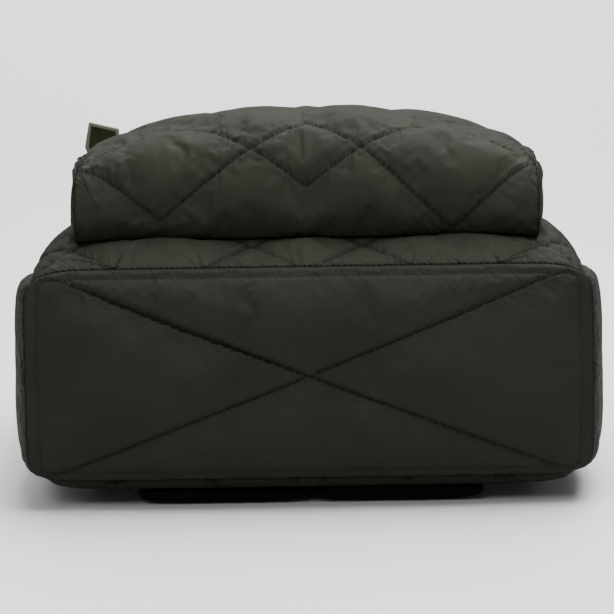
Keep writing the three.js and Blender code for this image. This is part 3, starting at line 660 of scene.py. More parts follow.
def quilted_panel(name, node, surface, size, cell, cloth_place, lines, heart=BAG_HEART,
                  material=shell_nylon, slot="shell", fill=0.7, hold=None, seat=None, topstitch=False,
                  pressure=5.0, surplus=0.022, puff_shape=(1.5, 5), cap=14, flat=False, pull=None):
    """surface(a, b) gives the seam surface, cloth_place(a, b) the place across and along the cloth.
    puff_shape is the least puff and how far from a stitch it is reached, cap the highest puff (mm).
    pull(a, b) gives how much deeper the stitches are pulled there (mm)."""
    width, length = size
    columns, rows = even_cells(width, cell), even_cells(length, cell)
    a, b = share_grid(columns, rows)
    across, along = cloth_place(a, b)
    keep_out = hold(a, b) if hold else np.zeros(a.shape, bool)
    margin = TOPSTITCH_CELLS * length / rows if topstitch else 1.5
    place, paths = slide_onto(lines, across, along, margin, keep_out)
    b = b + (place - along) / length
    if topstitch:
        paths.append(ring_path(columns, rows, TOPSTITCH_CELLS))
    across, along = cloth_place(a, b)
    base = surface(a, b)
    inward = into(base, heart)
    edge = edge_distance(a, b, width, length)
    row = np.minimum(edge, np.abs(edge - margin)) if topstitch else edge
    away = np.minimum(line_distance(lines, across, along), row)
    pinned = keep_out | (edge < 1e-6)
    sunk = np.zeros(a.shape)
    deeper = pull(a, b) if pull else np.zeros(a.shape)
    for path in paths:
        for i, j in path:
            pinned[i, j] = True
            sunk[i, j] = -SINK * min(1, edge[i, j] / SINK_EASE) - deeper[i, j]
    puff = (0 if flat else PUFF) * (1 - np.exp(-away / PUFF_REACH))
    if flat:
        moved = base - inward * np.where(pinned, sunk, puff)[..., None]
    else:
        jitter = random.normal(0, JITTER, a.shape)
        start = base - inward * np.where(pinned, sunk, START_SHARE * puff + jitter)[..., None]
        moved = swell(name, start, pinned, pressure, surplus)
        up = -np.einsum("ijk,ijk->ij", moved - base, inward)
        least = puff_shape[0] * (1 - np.exp(-away / puff_shape[1])) - deeper * np.exp(-away / PULL_REACH)
        least = np.where(pinned, up, least)
        limit = cap * np.tanh(np.maximum(up, least) / cap)
        moved = moved - inward * (limit - up)[..., None]
    if seat is not None:
        moved[..., 2] = np.maximum(moved[..., 2], seat(moved[..., 0], moved[..., 1]))
    up = -np.einsum("ijk,ijk->ij", moved - base, inward)
    outer = finer(moved)
    fine_base, fine_a, fine_b = finer(base), finer(a), finer(b)
    inner = (fine_base + into(fine_base, heart) * WALL)[::INNER_STRIDE, ::INNER_STRIDE]
    if seat is not None:
        inner[..., 2] = np.maximum(inner[..., 2], seat(inner[..., 0], inner[..., 1]))
    across, along = finer(across), finer(along)
    edge = edge_distance(fine_a, fine_b, width, length)
    to_line = line_distance(lines, across, along)
    to_row = np.minimum(edge, np.abs(edge - margin) + ROW_EASE) if topstitch else edge
    away = np.clip(np.minimum(to_line, to_row), 0, 60)
    if topstitch:  # one smooth run, so that puckers don't break where the row nears the cross
        run = 1.06 * across + 0.7 * along
    else:
        run = np.where(to_row < to_line, across + along, across * math.hypot(1, QUILT_SLOPE))
    piece = closed_panel(name, outer + SHIFT, inner + SHIFT, fabric_maps(across, along, away, run))
    dress(piece, material, slot, node, fill=fill)
    for path in paths:
        ends = list(zip(path, path[1:] + path[-1:]))
        points = np.array([outer[i + k, j + m] for here, there in ends for (i, j), (k, m) in
                           ((here, here), (here, there))])
        threads.append((points + SHIFT, -into(points, heart)))
    print(name, outer.shape[:2], "rises", round(float(up.min()), 1), "to", round(float(up.max()), 1), "mm")
    return piece


def ring_path(columns, rows, inset_cells):
    low, right, top = inset_cells, columns - inset_cells, rows - inset_cells
    path = [(i, low) for i in range(low, right)] + [(right, j) for j in range(low, top)]
    path += [(i, top) for i in range(right, low, -1)] + [(low, j) for j in range(top, low - 1, -1)]
    return path


def inset(share, length, gap=SEAM_GAP / 2):
    return mix(gap / length, 1 - gap / length, share)


# %% [markdown]
# The main front panel shows as a narrow strip under the pocket, and all round it from above. The
# pocket covers the rest, so there the cloth is simply held down.

# %% The front panel
CELL = 2.6


def front_surface(a, b):
    return front_point(2 * inset(a, 2 * SEAM_HALF) - 1, inset(b, SIDE_LENGTH))


def front_cloth(a, b):
    x, _ = plan(2 * a - 1, b)
    return x, b * SIDE_LENGTH


def under_pocket(a, b):
    point = front_surface(a, b)
    inside_x = np.abs(point[..., 0]) < POCKET_WIDTH / 2 + 1
    return inside_x & (point[..., 1] > POCKET_BOTTOM_Y - 1) & (point[..., 1] < POCKET_TOP_Y + 3)


quilted_panel("front_panel_quilt", "front_panel", front_surface, (2 * SEAM_HALF, SIDE_LENGTH), 1.2 * CELL,
              front_cloth, quilt_lines(FRONT_QUILT_START), hold=under_pocket, pressure=3.0,
              puff_shape=(2.5, 5))

# %% [markdown]
# The bottom panel has no diamonds. One seam runs from each corner to the opposite one, and a row of
# topstitching holds down its edge all round.

# %% The bottom panel
BOTTOM_SIZE = (2 * SEAM_HALF, SEAM_DEPTH)


def bottom_surface(a, b):
    return bottom_point(2 * inset(a, BOTTOM_SIZE[0]) - 1, inset(b, BOTTOM_SIZE[1]))


def bottom_cloth(a, b):
    return (a - 0.5) * BOTTOM_SIZE[0], b * BOTTOM_SIZE[1]


def upper_left_pull(a, b):
    """The seam's upper left arm is pulled tight between the corner and the crossing."""
    inside = np.clip(np.minimum(a, 1 - b) * 10 - 0.6, 0, 1)
    swelling = np.sin(math.pi * np.clip(2 * a, 0, 1)) ** 0.7
    return PULL_DEPTH * inside * np.where((a < 0.5) & (b > 0.5), swelling, 0)


cross_lines = [lambda across, s=sign: SEAM_DEPTH * (0.5 + s * across / BOTTOM_SIZE[0]) for sign in (1, -1)]
quilted_panel("bottom_panel_padded", "bottom_panel", bottom_surface, BOTTOM_SIZE, 0.81 * CELL, bottom_cloth,
              cross_lines, material=bottom_nylon, topstitch=True, surplus=0.01, pressure=3.0,
              puff_shape=(1.2, 3.5), pull=upper_left_pull)

# %% The side walls
WALL_RUN = RUN_ROWS * SIDE_LENGTH / SIDE_ROWS


def gusset_panel(node, run_from, run_to, low, high):
    length, width = (run_to - run_from) * WALL_RUN, (high - low) * SEAM_DEPTH

    def surface(a, b):
        return gusset_point(mix(run_from, run_to, b), mix(low, high, inset(a, width)))

    def cloth(a, b):
        return (mix(low, high, a) - 0.5) * SEAM_DEPTH, b * length

    lower_end = FRONT_QUILT_START if run_from == 0 else (length - FRONT_QUILT_START) % QUILT_ROW
    quilted_panel(node + "_quilt", node, surface, (width, length), 1.3 * CELL, cloth, quilt_lines(lower_end),
                  pressure=1.5, puff_shape=(2, 5), cap=3)


ZIP_LOW, ZIP_HIGH = ZIP_PLACE - ZIP_WIDTH / 2 / SEAM_DEPTH, ZIP_PLACE + ZIP_WIDTH / 2 / SEAM_DEPTH
ZIP_FROM = ZIP_ROWS / RUN_ROWS
gusset_panel("gusset_left", 0, ZIP_FROM, 0, 1)
gusset_panel("gusset_right", 1 - ZIP_FROM, 1, 0, 1)
gusset_panel("zip_gusset_back", ZIP_FROM, 1 - ZIP_FROM, 0, ZIP_LOW)
gusset_panel("zip_gusset_front", ZIP_FROM, 1 - ZIP_FROM, ZIP_HIGH, 1)

# %% [markdown]
# The pocket's front is one piece of quilted cloth that starts at its lower seam, climbs as a wall,
# turns over and runs back to the zip.

# %% The front pocket
POCKET_SIZE = (POCKET_WIDTH, POCKET_RUN)
POCKET_SAG = (2.7, 10.2)  # the sewing isn't quite even: the right points hang lower than the left


def pocket_surface(a, b):
    return pocket_point(2 * inset(a, POCKET_WIDTH) - 1, mix(0, 1 - SEAM_GAP / 2 / POCKET_RUN, b))


def pocket_cloth(a, b):
    return (a - 0.5) * POCKET_WIDTH, b * POCKET_RUN


def pocket_seat(x, y):
    return front_height(np.clip(x, -SEAM_HALF, SEAM_HALF), np.clip(y, BOTTOM_Y, TOP_Y)) + SEAT_GAP


quilted_panel("pocket_front_quilt", "pocket_front", pocket_surface, POCKET_SIZE, CELL, pocket_cloth,
              quilt_lines(POCKET_QUILT_START, POCKET_SAG), heart=POCKET_HEART, seat=pocket_seat)


def pocket_side_surface(side):
    def foot(a):
        y = mix(POCKET_BOTTOM_Y, POCKET_TOP_Y, a)
        x = side * pocket_half(y)
        return stack(x, y, front_height(x, y) + SEAT_GAP)

    def surface(a, b):
        a = inset(a, POCKET_LENGTH, SEAM_GAP)
        b = mix(0, 1 - SEAM_GAP / 50, b)
        top = pocket_column(side, mix(POCKET_WALL_SHARE, 1, a[:, 0]))[:, None]
        front = pocket_column(side, POCKET_WALL_SHARE * b[0])[None]
        ends = pocket_column(side, np.array([POCKET_WALL_SHARE, 1.0]))
        foot_ends = foot(np.array([0.0, 1.0]))
        back = mix(foot_ends[1], ends[1], b[0][:, None])[None]
        low, high = foot(a[:, 0])[:, None], top
        s, t = a[..., None], b[..., None]
        point = mix(low, high, t) + mix(front, back, s)
        point -= mix(mix(foot_ends[0], foot_ends[1], s), mix(ends[0], ends[1], s), t)
        point[..., 0] += side * POCKET_SIDE_BULGE * rise(a, 6) * rise(b, 2)
        return point

    return surface


SIDE_CLOTH = 48  # mm of cloth from the pocket side's foot to its upper seam


def side_cloth(a, b):
    return (a - 0.5) * POCKET_LENGTH + QUILT_PERIOD / 4, b * SIDE_CLOTH


for word, side in (("left", -1), ("right", 1)):
    node = "pocket_side_" + word
    quilted_panel(node + "_quilt", node, pocket_side_surface(side), (POCKET_LENGTH, SIDE_CLOTH), CELL,
                  side_cloth, quilt_lines(SIDE_CLOTH / 2), heart=POCKET_HEART, seat=pocket_seat,
                  pressure=2.0)

# %% [markdown]
# The back lies on the straps, so its cloth stays flat. The same sheet recipe makes it, with its quilting
# drawn but not swollen.

# %% The back
ROLL_DEPTH, ROLL_REACH = 5.5, 12  # the wadding that rolls out below the bottom seam


def back_surface(a, b):
    point = back_point(2 * inset(a, 2 * SEAM_HALF) - 1, inset(b, SIDE_LENGTH))
    roll = np.sin(math.pi * np.clip(b * SIDE_LENGTH / ROLL_REACH, 0, 1) ** 0.6)
    point[..., 2] -= ROLL_DEPTH * roll * rise(a, 16)
    return point


quilted_panel("back_panel_padded", "back_panel", back_surface, (2 * SEAM_HALF, SIDE_LENGTH), 2 * CELL,
              front_cloth, quilt_lines(FRONT_QUILT_START), material=back_nylon, slot="back", fill=0.9,
              flat=True)

# %% [markdown]
# Each shoulder strap is a pad with rounded edges that the bag's weight presses flat. It is drawn through
# sections across its length. Its end sections shrink fast, which rounds the ends off.

# %% Shoulder straps
STRAP_THICKNESS, STRAP_WIDTH, STRAP_LENGTH, STRAP_OFFSET, STRAP_CURVE = 12, 88, 352, 52, 4
STRAP_TOP_Y, STRAP_END_SHARE, ADJUSTER_PLACE = BAG_HEIGHT / 2 - 28, 0.9, 0.82
STRAP_ROUND = 0.035  # share of the length that rounds off at each end
FLARE_HALF, FLARE_SHIFT = 47.5, 4
SECTION_POINTS = 48


def strap_middle(share):
    return STRAP_OFFSET + STRAP_CURVE * np.sin(math.pi * share)


def strap_half(share):
    return STRAP_WIDTH / 2 * np.minimum(1, STRAP_END_SHARE + 2.2 * np.minimum(share, 1 - share))


def make_strap(word, side):
    share = np.concatenate([[0, 0.002, 0.006, 0.014, 0.026], np.linspace(0.04, 0.96, 90),
                            [0.974, 0.986, 0.994, 0.998, 1]])[:, None]
    turn = np.linspace(0, 2 * math.pi, SECTION_POINTS, endpoint=False)[None] - math.pi / 2
    near_end = np.clip(np.minimum(share, 1 - share) / STRAP_ROUND, 0, 1)
    end = np.sqrt(near_end * (2 - near_end))
    flare = np.clip((share - 0.88) / 0.1, 0, 1)  # the bag's weight spreads the lower end inward
    half = mix(strap_half(share), FLARE_HALF, flare) - 2.5 * (1 - end)
    middle = strap_middle(share) - FLARE_SHIFT * flare
    wave = 0.25 * np.sin(share * 61 + 2 * np.cos(turn)) + 0.2 * np.sin(share * 133 + side)
    thick = STRAP_THICKNESS / 2 * mix(0.34, 1, end)
    x = side * middle + half * np.sign(np.cos(turn)) * np.abs(np.cos(turn)) ** 0.45
    z = STRAP_THICKNESS / 2 + thick * np.sign(np.sin(turn)) * np.abs(np.sin(turn)) ** 0.7
    z = np.clip(z - np.where(np.sin(turn) > 0, np.abs(wave), 0), 0, STRAP_THICKNESS)
    y = STRAP_TOP_Y - STRAP_LENGTH * share
    rings = stack(x, y, z) + SHIFT
    maps = fabric_maps(x - side * STRAP_OFFSET, y + 0 * x, 6 + 0 * x, y + 0 * x)
    pad = lofted("shoulder_strap_" + word + "_pad", rings, maps)
    dress(pad, strap_cloth_painted_shade, "shell", "shoulder_strap_" + word, fill=0.6)
    for edge in (-1, 1):
        line = stack(side * middle + edge * (half - 7), y, STRAP_THICKNESS - 0.3)[6:-6, 0]
        threads.append((line + SHIFT, np.tile((0.0, 0.0, 1.0), (len(line), 1))))


# %% Webbing


def ribbon(name, points, width, thickness, wide_along, slot, *nodes):
    """Webbing with rounded selvedges along a smooth curve through a few points (mm)."""
    dense, length = spline_table(points, 40, True)
    count = max(8, round(length[-1] / 2.5))
    reach = np.linspace(0, length[-1], count)
    middle = np.stack([np.interp(reach, length, dense[:, k]) for k in range(3)], -1)
    tangent = np.gradient(middle, axis=0)
    normal = np.cross(tangent, wide_along)
    normal /= np.linalg.norm(normal, axis=1, keepdims=True)
    turn = np.linspace(0, 2 * math.pi, 28, endpoint=False)
    across = width / 2 * np.sign(np.cos(turn)) * np.abs(np.cos(turn)) ** 0.35
    out = thickness / 2 * np.sign(np.sin(turn)) * np.abs(np.sin(turn)) ** 0.6
    rings = middle[:, None] + across[None, :, None] * np.array(wide_along)
    rings = rings + out[None, :, None] * normal[:, None]
    piece = lofted(name, rings + SHIFT, {"cloth": stack2(across[None], reach[:, None])})
    return dress(piece, webbing_cloth, slot, *nodes)


# %% Small hard parts


def hard_part(name, origin, along, up, boxes, material, slot, *nodes):
    """Bevelled blocks in one mesh. Each is a centre, a size and a bevel (mm), in a frame of along and up."""
    across = np.cross(up, along)
    place = Matrix([[*row, 0] for row in np.stack([along, across, up], 1)] + [[0, 0, 0, 1]])
    mesh = bpy.data.meshes.new(name)
    shape = bmesh.new()
    for centre, size, bevel in boxes:
        block = Matrix.Translation(Vector(centre)) @ Matrix.Diagonal((*size, 1))
        made = bmesh.ops.create_cube(shape, size=1, matrix=block)["verts"]
        edges = {edge for vertex in made for edge in vertex.link_edges}
        bmesh.ops.bevel(shape, geom=list(edges), offset=bevel, segments=3, affect="EDGES", profile=0.6)
    place = Matrix.Scale(MM, 4) @ Matrix.Translation(Vector(origin + SHIFT)) @ place
    bmesh.ops.transform(shape, matrix=place, verts=shape.verts)
    shape.to_mesh(mesh)
    shape.free()
    mesh.shade_smooth()
    return dress(new_object(name, mesh), material, slot, *nodes)


def back_height(x, y):
    up = (y - BOTTOM_Y) / SIDE_LENGTH
    return back_point(np.clip(x / side_at(up)[0], -1, 1), up)[..., 2]


# %% [markdown]
# At the lower end of each strap a ladder adjuster holds the webbing, which runs to a small cloth wing
# sewn into the back seam.

# %% Strap ends
WEBBING_WIDTH, WEBBING_THICKNESS, ADJUSTER_THICKNESS, ADJUSTER_BAR, ADJUSTER_LENGTH = 25, 1.6, 3.2, 5, 30
ADJUSTER_LIFT, ADJUSTER_CLEARANCE, ANCHOR_LENGTH, ANCHOR_REACH, ANCHOR_THICKNESS = 3, 1.1, 44, 16, 3


def make_strap_end(word, side):
    place_y = STRAP_TOP_Y - STRAP_LENGTH * ADJUSTER_PLACE
    half = WEBBING_WIDTH / 2 + 1
    shares = (STRAP_TOP_Y - place_y + np.array([-1, 0, 1]) * (half + ADJUSTER_BAR)) / STRAP_LENGTH
    start = float(np.max(strap_middle(shares) + strap_half(shares))) + ADJUSTER_CLEARANCE
    rail, second = half + ADJUSTER_BAR / 2, (ADJUSTER_LENGTH - ADJUSTER_BAR) / 2
    level = ADJUSTER_THICKNESS / 2
    bars = [((x, 0, level), (ADJUSTER_BAR - 0.4, 2 * half + 4, ADJUSTER_THICKNESS), 1.1)
            for x in (ADJUSTER_BAR / 2, second + ADJUSTER_BAR / 2, 2 * second + ADJUSTER_BAR / 2)]
    bars += [((ADJUSTER_LENGTH / 2, y, level), (ADJUSTER_LENGTH, ADJUSTER_BAR, ADJUSTER_THICKNESS), 1.2)
             for y in (-rail, rail)]
    hard_part("strap_adjuster_" + word + "_ladder", np.array([side * start, place_y, ADJUSTER_LIFT]),
              np.array([side, 0, 0]), np.array([0, 0, 1]), bars, moulded_plastic, "adjuster",
              "strap_adjuster_" + word)
    wing_out = SEAM_HALF - 4
    wing_in = wing_out - ANCHOR_REACH
    under = WEBBING_THICKNESS / 2 + SEAM_GAP
    over = ADJUSTER_LIFT + ADJUSTER_THICKNESS + under

    def webbing_z(x):
        wing_z = float(back_height(np.array(side * x), np.array(place_y))) - ANCHOR_THICKNESS
        return wing_z - SEAM_GAP - under

    route = [(start + second + 2, under), (start + second + 9, under), (start + 2 * second, over + SEAM_GAP),
             (start + ADJUSTER_LENGTH, over + 2 * SEAM_GAP)]
    route += [(x, webbing_z(x)) for x in (mix(wing_in, wing_out, 0.4), wing_out - 2)]
    ribbon("strap_webbing_" + word + "_tape", [(side * x, place_y, z) for x, z in route], WEBBING_WIDTH,
           WEBBING_THICKNESS, (0, 1, 0), "webbing", "strap_webbing_" + word)
    a, b = share_grid(16, 16)
    x, y = side * mix(wing_in, wing_out, a), place_y + (b - 0.5) * mix(WEBBING_WIDTH + 4, ANCHOR_LENGTH, a)
    top = back_height(x, y) - SEAM_GAP
    upper = stack(x, y, top)[::INNER_STRIDE, ::INNER_STRIDE]
    lower = stack(x, y, top - ANCHOR_THICKNESS * mix(0.5, 1, np.sqrt(rise(a, 2) * rise(b, 2))))
    wing = closed_panel("strap_anchor_" + word + "_wing", lower + SHIFT, upper + SHIFT,
                        fabric_maps(x, y, edge_distance(a, b, 16, 40), y))
    dress(wing, strap_cloth_painted_shade, "shell", "strap_anchor_" + word, fill=0.9)


for word, side in (("left", -1), ("right", 1)):
    make_strap(word, side)
    make_strap_end(word, side)
print("straps made")

# %% [markdown]
# The main zip runs round the upper half of the side wall, and a shorter one closes the pocket. Each is a
# woven tape with a nylon coil, whose turns are beads across the path.

# %% Zips
COIL_RISE, ZIP_CLEARANCE, ZIP_WALL, ZIP_TEETH_PITCH = 1.1, 0.75, 1.6, 1.5
coils = []


def zip_tape(node, surface, columns, heart, length, width):
    a, b = share_grid(columns, 8)
    outer = surface(a, b)
    inner = outer + into(outer, heart) * ZIP_WALL
    maps = {"cloth": stack2((b - 0.5) * width, a * length)}
    inner = inner[::INNER_STRIDE, ::INNER_STRIDE]
    tape = closed_panel(node + "_tape", outer + SHIFT, inner + SHIFT, maps)
    dress(tape, zip_cloth, "zip", node)
    middle = outer[:, 4]
    out = -into(middle, heart)
    coils.append((middle + out * 0.45 + SHIFT, out))


def main_zip_surface(a, b):
    clear = ZIP_CLEARANCE / SEAM_DEPTH
    point = gusset_point(mix(ZIP_FROM, 1 - ZIP_FROM, a), mix(ZIP_LOW + clear, ZIP_HIGH - clear, b))
    return point + into(point, BAG_HEART) * ZIP_CLEARANCE


POCKET_TOP_FOOT = POCKET_TOP_Y + 1


def pocket_seam(across):
    """The point of the pocket's upper seam at this place across it."""
    return pocket_column(across, np.array([1.0]))[0]


def pocket_top_surface(low, high):
    def surface(a, b):
        across = 2 * inset(a, POCKET_TOP_WIDTH, SEAM_GAP) - 1
        seam = np.stack([pocket_seam(x) for x in across[:, 0]])[:, None]
        ground = front_height(seam[..., 0], np.full(seam.shape[:2], POCKET_TOP_FOOT)) + SEAT_GAP
        foot = stack(seam[..., 0], POCKET_TOP_FOOT, ground)
        share = mix(low, high, b)
        point = mix(foot, seam, share[..., None])
        point[..., 1] += 2.5 * rise(share, 2) + SEAM_GAP
        return point

    return surface


pocket_top_height = float(pocket_seam(0)[2] - front_height(0.0, POCKET_TOP_Y))
zip_share, gap_share = POCKET_ZIP_WIDTH / pocket_top_height, SEAM_GAP / pocket_top_height
zip_tape("main_zip", main_zip_surface, 200, BAG_HEART, (1 - 2 * ZIP_FROM) * WALL_RUN, ZIP_WIDTH)
zip_tape("pocket_zip", pocket_top_surface(1 - zip_share + gap_share / 2, 1 - gap_share), 96, POCKET_HEART,
         POCKET_TOP_WIDTH, POCKET_ZIP_WIDTH)
a, b = share_grid(96, 16)
strip = pocket_top_surface(0, 1 - zip_share - gap_share / 2)(a, b)
inner_strip = (strip + into(strip, POCKET_HEART) * ZIP_WALL)[::INNER_STRIDE, ::INNER_STRIDE]
strip_maps = fabric_maps(a * POCKET_TOP_WIDTH, b * 25, np.minimum(b, 1 - b) * 25, a * POCKET_TOP_WIDTH)
dress(closed_panel("pocket_zip_strip_cloth", strip + SHIFT, inner_strip + SHIFT, strip_maps), shell_nylon,
      "shell", "pocket_zip_strip")

# %% Sliders
SLIDER_BLOCKS = [((6.5, 0, 1.0), (13, 8.6, 2.4), 0.9), ((6, 0, 2.7), (8, 2.4, 1.8), 0.7),
                 ((15, 2.0, 1.6), (6, 1.0, 1.2), 0.4), ((15, -2.0, 1.6), (6, 1.0, 1.2), 0.4),
                 ((12.4, 0, 1.9), (1.2, 5, 1.2), 0.4), ((17.8, 0, 1.5), (1.4, 5, 1.4), 0.4),
                 ((30.5, 0, 1.3), (25, 6.6, 1.5), 0.6), ((30.5, 0, 1.4), (20, 3.4, 2.1), 0.5)]


SLIDER_REACH = (0.3, 3)  # where a slider starts and points to, in rows from the middle of the top


def unit(vector):
    return vector / np.linalg.norm(vector)


def make_slider(name, near, far, out):
    along = far - near
    along = unit(along - out * np.dot(along, out))
    hard_part(name + "_metal", near + out * (COIL_RISE + SEAM_GAP), along, out, SLIDER_BLOCKS, plated_steel,
              "slider", name)


for word, way in (("left", -1), ("right", 1)):
    near, far = [gusset_point(np.array(0.5 + way * rows / RUN_ROWS), np.array(ZIP_PLACE))
                 for rows in SLIDER_REACH]
    out = -into(near, BAG_HEART)
    make_slider("main_slider_" + word, near - out * ZIP_CLEARANCE, far - out * ZIP_CLEARANCE, out)

POCKET_SLIDER_PLACE = 0.7
near, far = [pocket_seam(part) for part in (POCKET_SLIDER_PLACE, POCKET_SLIDER_PLACE / 2)]
near[2], far[2] = near[2] - POCKET_ZIP_WIDTH / 2, far[2] - POCKET_ZIP_WIDTH / 2
near[1] = far[1] = POCKET_TOP_Y + 2 * SEAM_GAP + ZIP_WALL
make_slider("pocket_slider", near, far, np.array([0.0, 1.0, 0.0]))

# %% The handle and the tabs
HANDLE_SPAN, HANDLE_REACH, HANDLE_THICKNESS, HANDLE_LIFT, HANDLE_SEAT = 92, 34, 3, 5.8, 6
TAB_LONG, TAB_WIDE, TAB_THICK, TAB_STAND_OFF = 38, 20, 3, 3.6
handle_half = HANDLE_SPAN / 2
foot_run = 0.5 + TOP_SHARE / 2 * handle_half / side_at(1.0)[0]
foot_y = float(gusset_point(np.array(foot_run), np.array(0.3))[1]) + HANDLE_LIFT
HANDLE_PATH = [(-1, -0.28), (-1, 0), (-0.86, 0.55), (-0.45, 0.94), (0.45, 0.94), (0.86, 0.55), (1, 0),
               (1, -0.28)]  # the feet end inside the seam
ribbon("grab_handle_webbing",
       [(handle_half * x, foot_y + HANDLE_REACH * y, BACK_SEAM_Z + HANDLE_SEAT + WEBBING_WIDTH / 2)
        for x, y in HANDLE_PATH], WEBBING_WIDTH, HANDLE_THICKNESS, (0, 0, 1), "webbing", "grab_handle")


def make_tab(word, side, outline):
    corner = pocket_seam(side)
    origin = np.array([corner[0], POCKET_TOP_Y + TAB_STAND_OFF, corner[2]]) + SHIFT
    mesh = bpy.data.meshes.new("zip_end_tab_" + word + "_cloth")
    shape = bmesh.new()
    ring = [shape.verts.new(((origin + np.array([x, 0, z])) * MM).tolist()) for x, z in outline]
    face = shape.faces.new(ring)
    grown = bmesh.ops.extrude_face_region(shape, geom=[face])["geom"]
    moved = [item for item in grown if isinstance(item, bmesh.types.BMVert)]
    bmesh.ops.translate(shape, verts=moved, vec=(0, TAB_THICK * MM, 0))
    bmesh.ops.bevel(shape, geom=list(shape.edges), offset=0.9 * MM, segments=3, affect="EDGES", profile=0.5)
    bmesh.ops.recalc_face_normals(shape, faces=list(shape.faces))
    broad = sorted(shape.faces, key=lambda side_face: side_face.calc_area())[-2:]
    bmesh.ops.inset_individual(shape, faces=broad, thickness=1.6 * MM, depth=-0.4 * MM)
    shape.to_mesh(mesh)
    shape.free()
    mesh.shade_smooth()
    dress(new_object(mesh.name, mesh), tab_cloth, "tab", "zip_end_tab_" + word)
    mesh.materials.append(tab_pale_rim)
    by_area = sorted(mesh.polygons, key=lambda polygon: polygon.area)
    for polygon in by_area[:-2]:
        polygon.material_index = 1


foot = -TAB_WIDE / 2
make_tab("left", -1, [(0.1 * TAB_WIDE, foot), (0.1 * TAB_WIDE, 0.72 * TAB_LONG),
                      (-0.85 * TAB_WIDE, 0.84 * TAB_LONG), (-TAB_WIDE, 0.42 * TAB_LONG),
                      (-0.5 * TAB_WIDE, foot)])
make_tab("right", 1, [(0, foot), (0, 2), (-TAB_WIDE, 4), (-TAB_WIDE, foot)])
print("zips, handle and tabs made")

# %% [markdown]
# Thread and zip coils are both a small bead repeated along a path. One Geometry Nodes tree makes both. Its
# inputs are the pitch, the size of a bead along, across and out of the cloth, and the material.

# %% Thread and coils


def make_bead_tree():
    tree = bpy.data.node_groups.new("beads_along_path", "GeometryNodeTree")
    face = tree.interface
    face.new_socket("Path", in_out="INPUT", socket_type="NodeSocketGeometry")
    for socket, kind in (("Pitch", "Float"), ("Size", "Vector"), ("Material", "Material")):
        face.new_socket(socket, in_out="INPUT", socket_type="NodeSocket" + kind)
    face.new_socket("Beads", in_out="OUTPUT", socket_type="NodeSocketGeometry")
    given = add(tree, "NodeGroupInput")
    curve = add(tree, "GeometryNodeMeshToCurve", {0: given.outputs["Path"]})
    spots = add(tree, "GeometryNodeResampleCurve",
                {"Curve": curve.outputs[0], "Length": given.outputs["Pitch"]}, mode="LENGTH")
    out = add(tree, "GeometryNodeInputNamedAttribute", {"Name": "out"}, data_type="FLOAT_VECTOR")
    upright = add(tree, "FunctionNodeAlignRotationToVector", {"Vector": out.outputs[0]}, axis="Z")
    tangent = add(tree, "GeometryNodeInputTangent")
    turned = add(tree, "FunctionNodeAlignRotationToVector",
                 {"Rotation": upright.outputs[0], "Vector": tangent.outputs[0]}, axis="X", pivot_axis="Z")
    bead = add(tree, "GeometryNodeMeshUVSphere", {"Segments": 6, "Rings": 4, "Radius": 0.5})
    beads = add(tree, "GeometryNodeInstanceOnPoints", {
        "Points": spots.outputs[0], "Instance": bead.outputs[0], "Rotation": turned.outputs[0],
        "Scale": given.outputs["Size"]})
    smooth = add(tree, "GeometryNodeSetShadeSmooth", {0: beads.outputs[0]})
    real = add(tree, "GeometryNodeRealizeInstances", {0: smooth.outputs[0]})
    painted = add(tree, "GeometryNodeSetMaterial",
                  {"Geometry": real.outputs[0], "Material": given.outputs["Material"]})
    add(tree, "NodeGroupOutput", {"Beads": painted.outputs[0]})
    return tree


bead_tree = make_bead_tree()


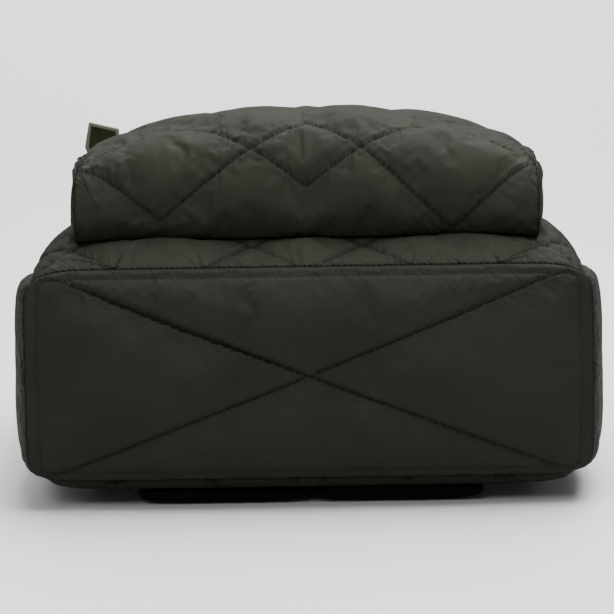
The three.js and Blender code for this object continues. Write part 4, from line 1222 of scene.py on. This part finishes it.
def bead_rows(name, paths, pitch, size, material):
    """paths are pairs of points (mm) and the directions out of the cloth at them."""
    points = np.vstack([line for line, _ in paths]) * MM
    edges, start = [], 0
    for line, _ in paths:
        edges += [(start + k, start + k + 1) for k in range(len(line) - 1)]
        start += len(line)
    mesh = bpy.data.meshes.new(name + "_path")
    mesh.from_pydata(points.tolist(), edges, [])
    mesh.attributes.new("out", "FLOAT_VECTOR", "POINT").data.foreach_set(
        "vector", np.vstack([out for _, out in paths]).ravel())
    carrier = new_object(mesh.name, mesh)
    modifier = carrier.modifiers.new("beads", "NODES")
    modifier.node_group = bead_tree
    values = {"Pitch": pitch * MM, "Size": [v * MM for v in size], "Material": material}
    for item in bead_tree.interface.items_tree:
        if item.name in values:
            modifier[item.identifier] = values[item.name]
    shown = carrier.evaluated_get(bpy.context.evaluated_depsgraph_get())
    piece = new_object(name, bpy.data.meshes.new_from_object(shown))
    carrier.modifiers.clear()
    bpy.data.objects.remove(carrier)
    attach(piece, "root")
    print(name, len(piece.data.polygons), "faces")


bead_rows("quilting_thread", threads, STITCH_PITCH, (2.1, 0.4, 0.4), thread_finish)
bead_rows("zip_coils", coils, ZIP_TEETH_PITCH, (1.15, 4.8, 1.7), coil_nylon)

# %% The floor and the light
floor_material, floor_tree = new_material("pale_studio_floor")
finish_material(floor_tree, linear("dcdcdc"), 0.5)


def make_sweep():
    """A floor that curves up far behind the bag, as high as the picture's upper edge looks."""
    profile = [(-4.0, 0.0), (1.6, 0.0)]
    profile += [(1.6 + 1.2 * math.sin(t), 1.2 - 1.2 * math.cos(t)) for t in np.linspace(0, 0.88, 11)[1:]]
    points = [(x, y, z) for x in (-5, 5) for y, z in profile]
    count = len(profile)
    faces = [(k, count + k, count + k + 1, k + 1) for k in range(count - 1)]
    mesh = mesh_from("studio_sweep", points, faces)
    mesh.shade_smooth()
    sweep = new_object("studio_sweep", mesh)
    sweep.data.materials.append(floor_material)


def soft_light(name, place, target, size, power):
    data = bpy.data.lights.new(name, "AREA")
    data.shape, data.size, data.size_y = "RECTANGLE", size[0], size[1]
    data.energy = power
    light = new_object(name, data)
    light.location = place
    light.rotation_euler = (Vector(target) - Vector(place)).to_track_quat("-Z", "Y").to_euler()


make_sweep()
soft_light("overhead_softbox", (0.3, 0.0, 1.6), (0, 0.0, 0.1), (2.2, 1.2), 88)
soft_light("back_softbox", (0.0, 2.1, 1.9), (0, 2.3, 0.0), (3.2, 1.4), 92)
soft_light("front_softbox", (-0.9, -1.9, 1.5), (0, -0.3, 0.1), (0.9, 0.9), 22)
world = bpy.data.worlds.new("pale_room")
world.use_nodes = True
background = world.node_tree.nodes["Background"].inputs
background[0].default_value, background[1].default_value = linear("dadada"), 0.35
scene.world = world
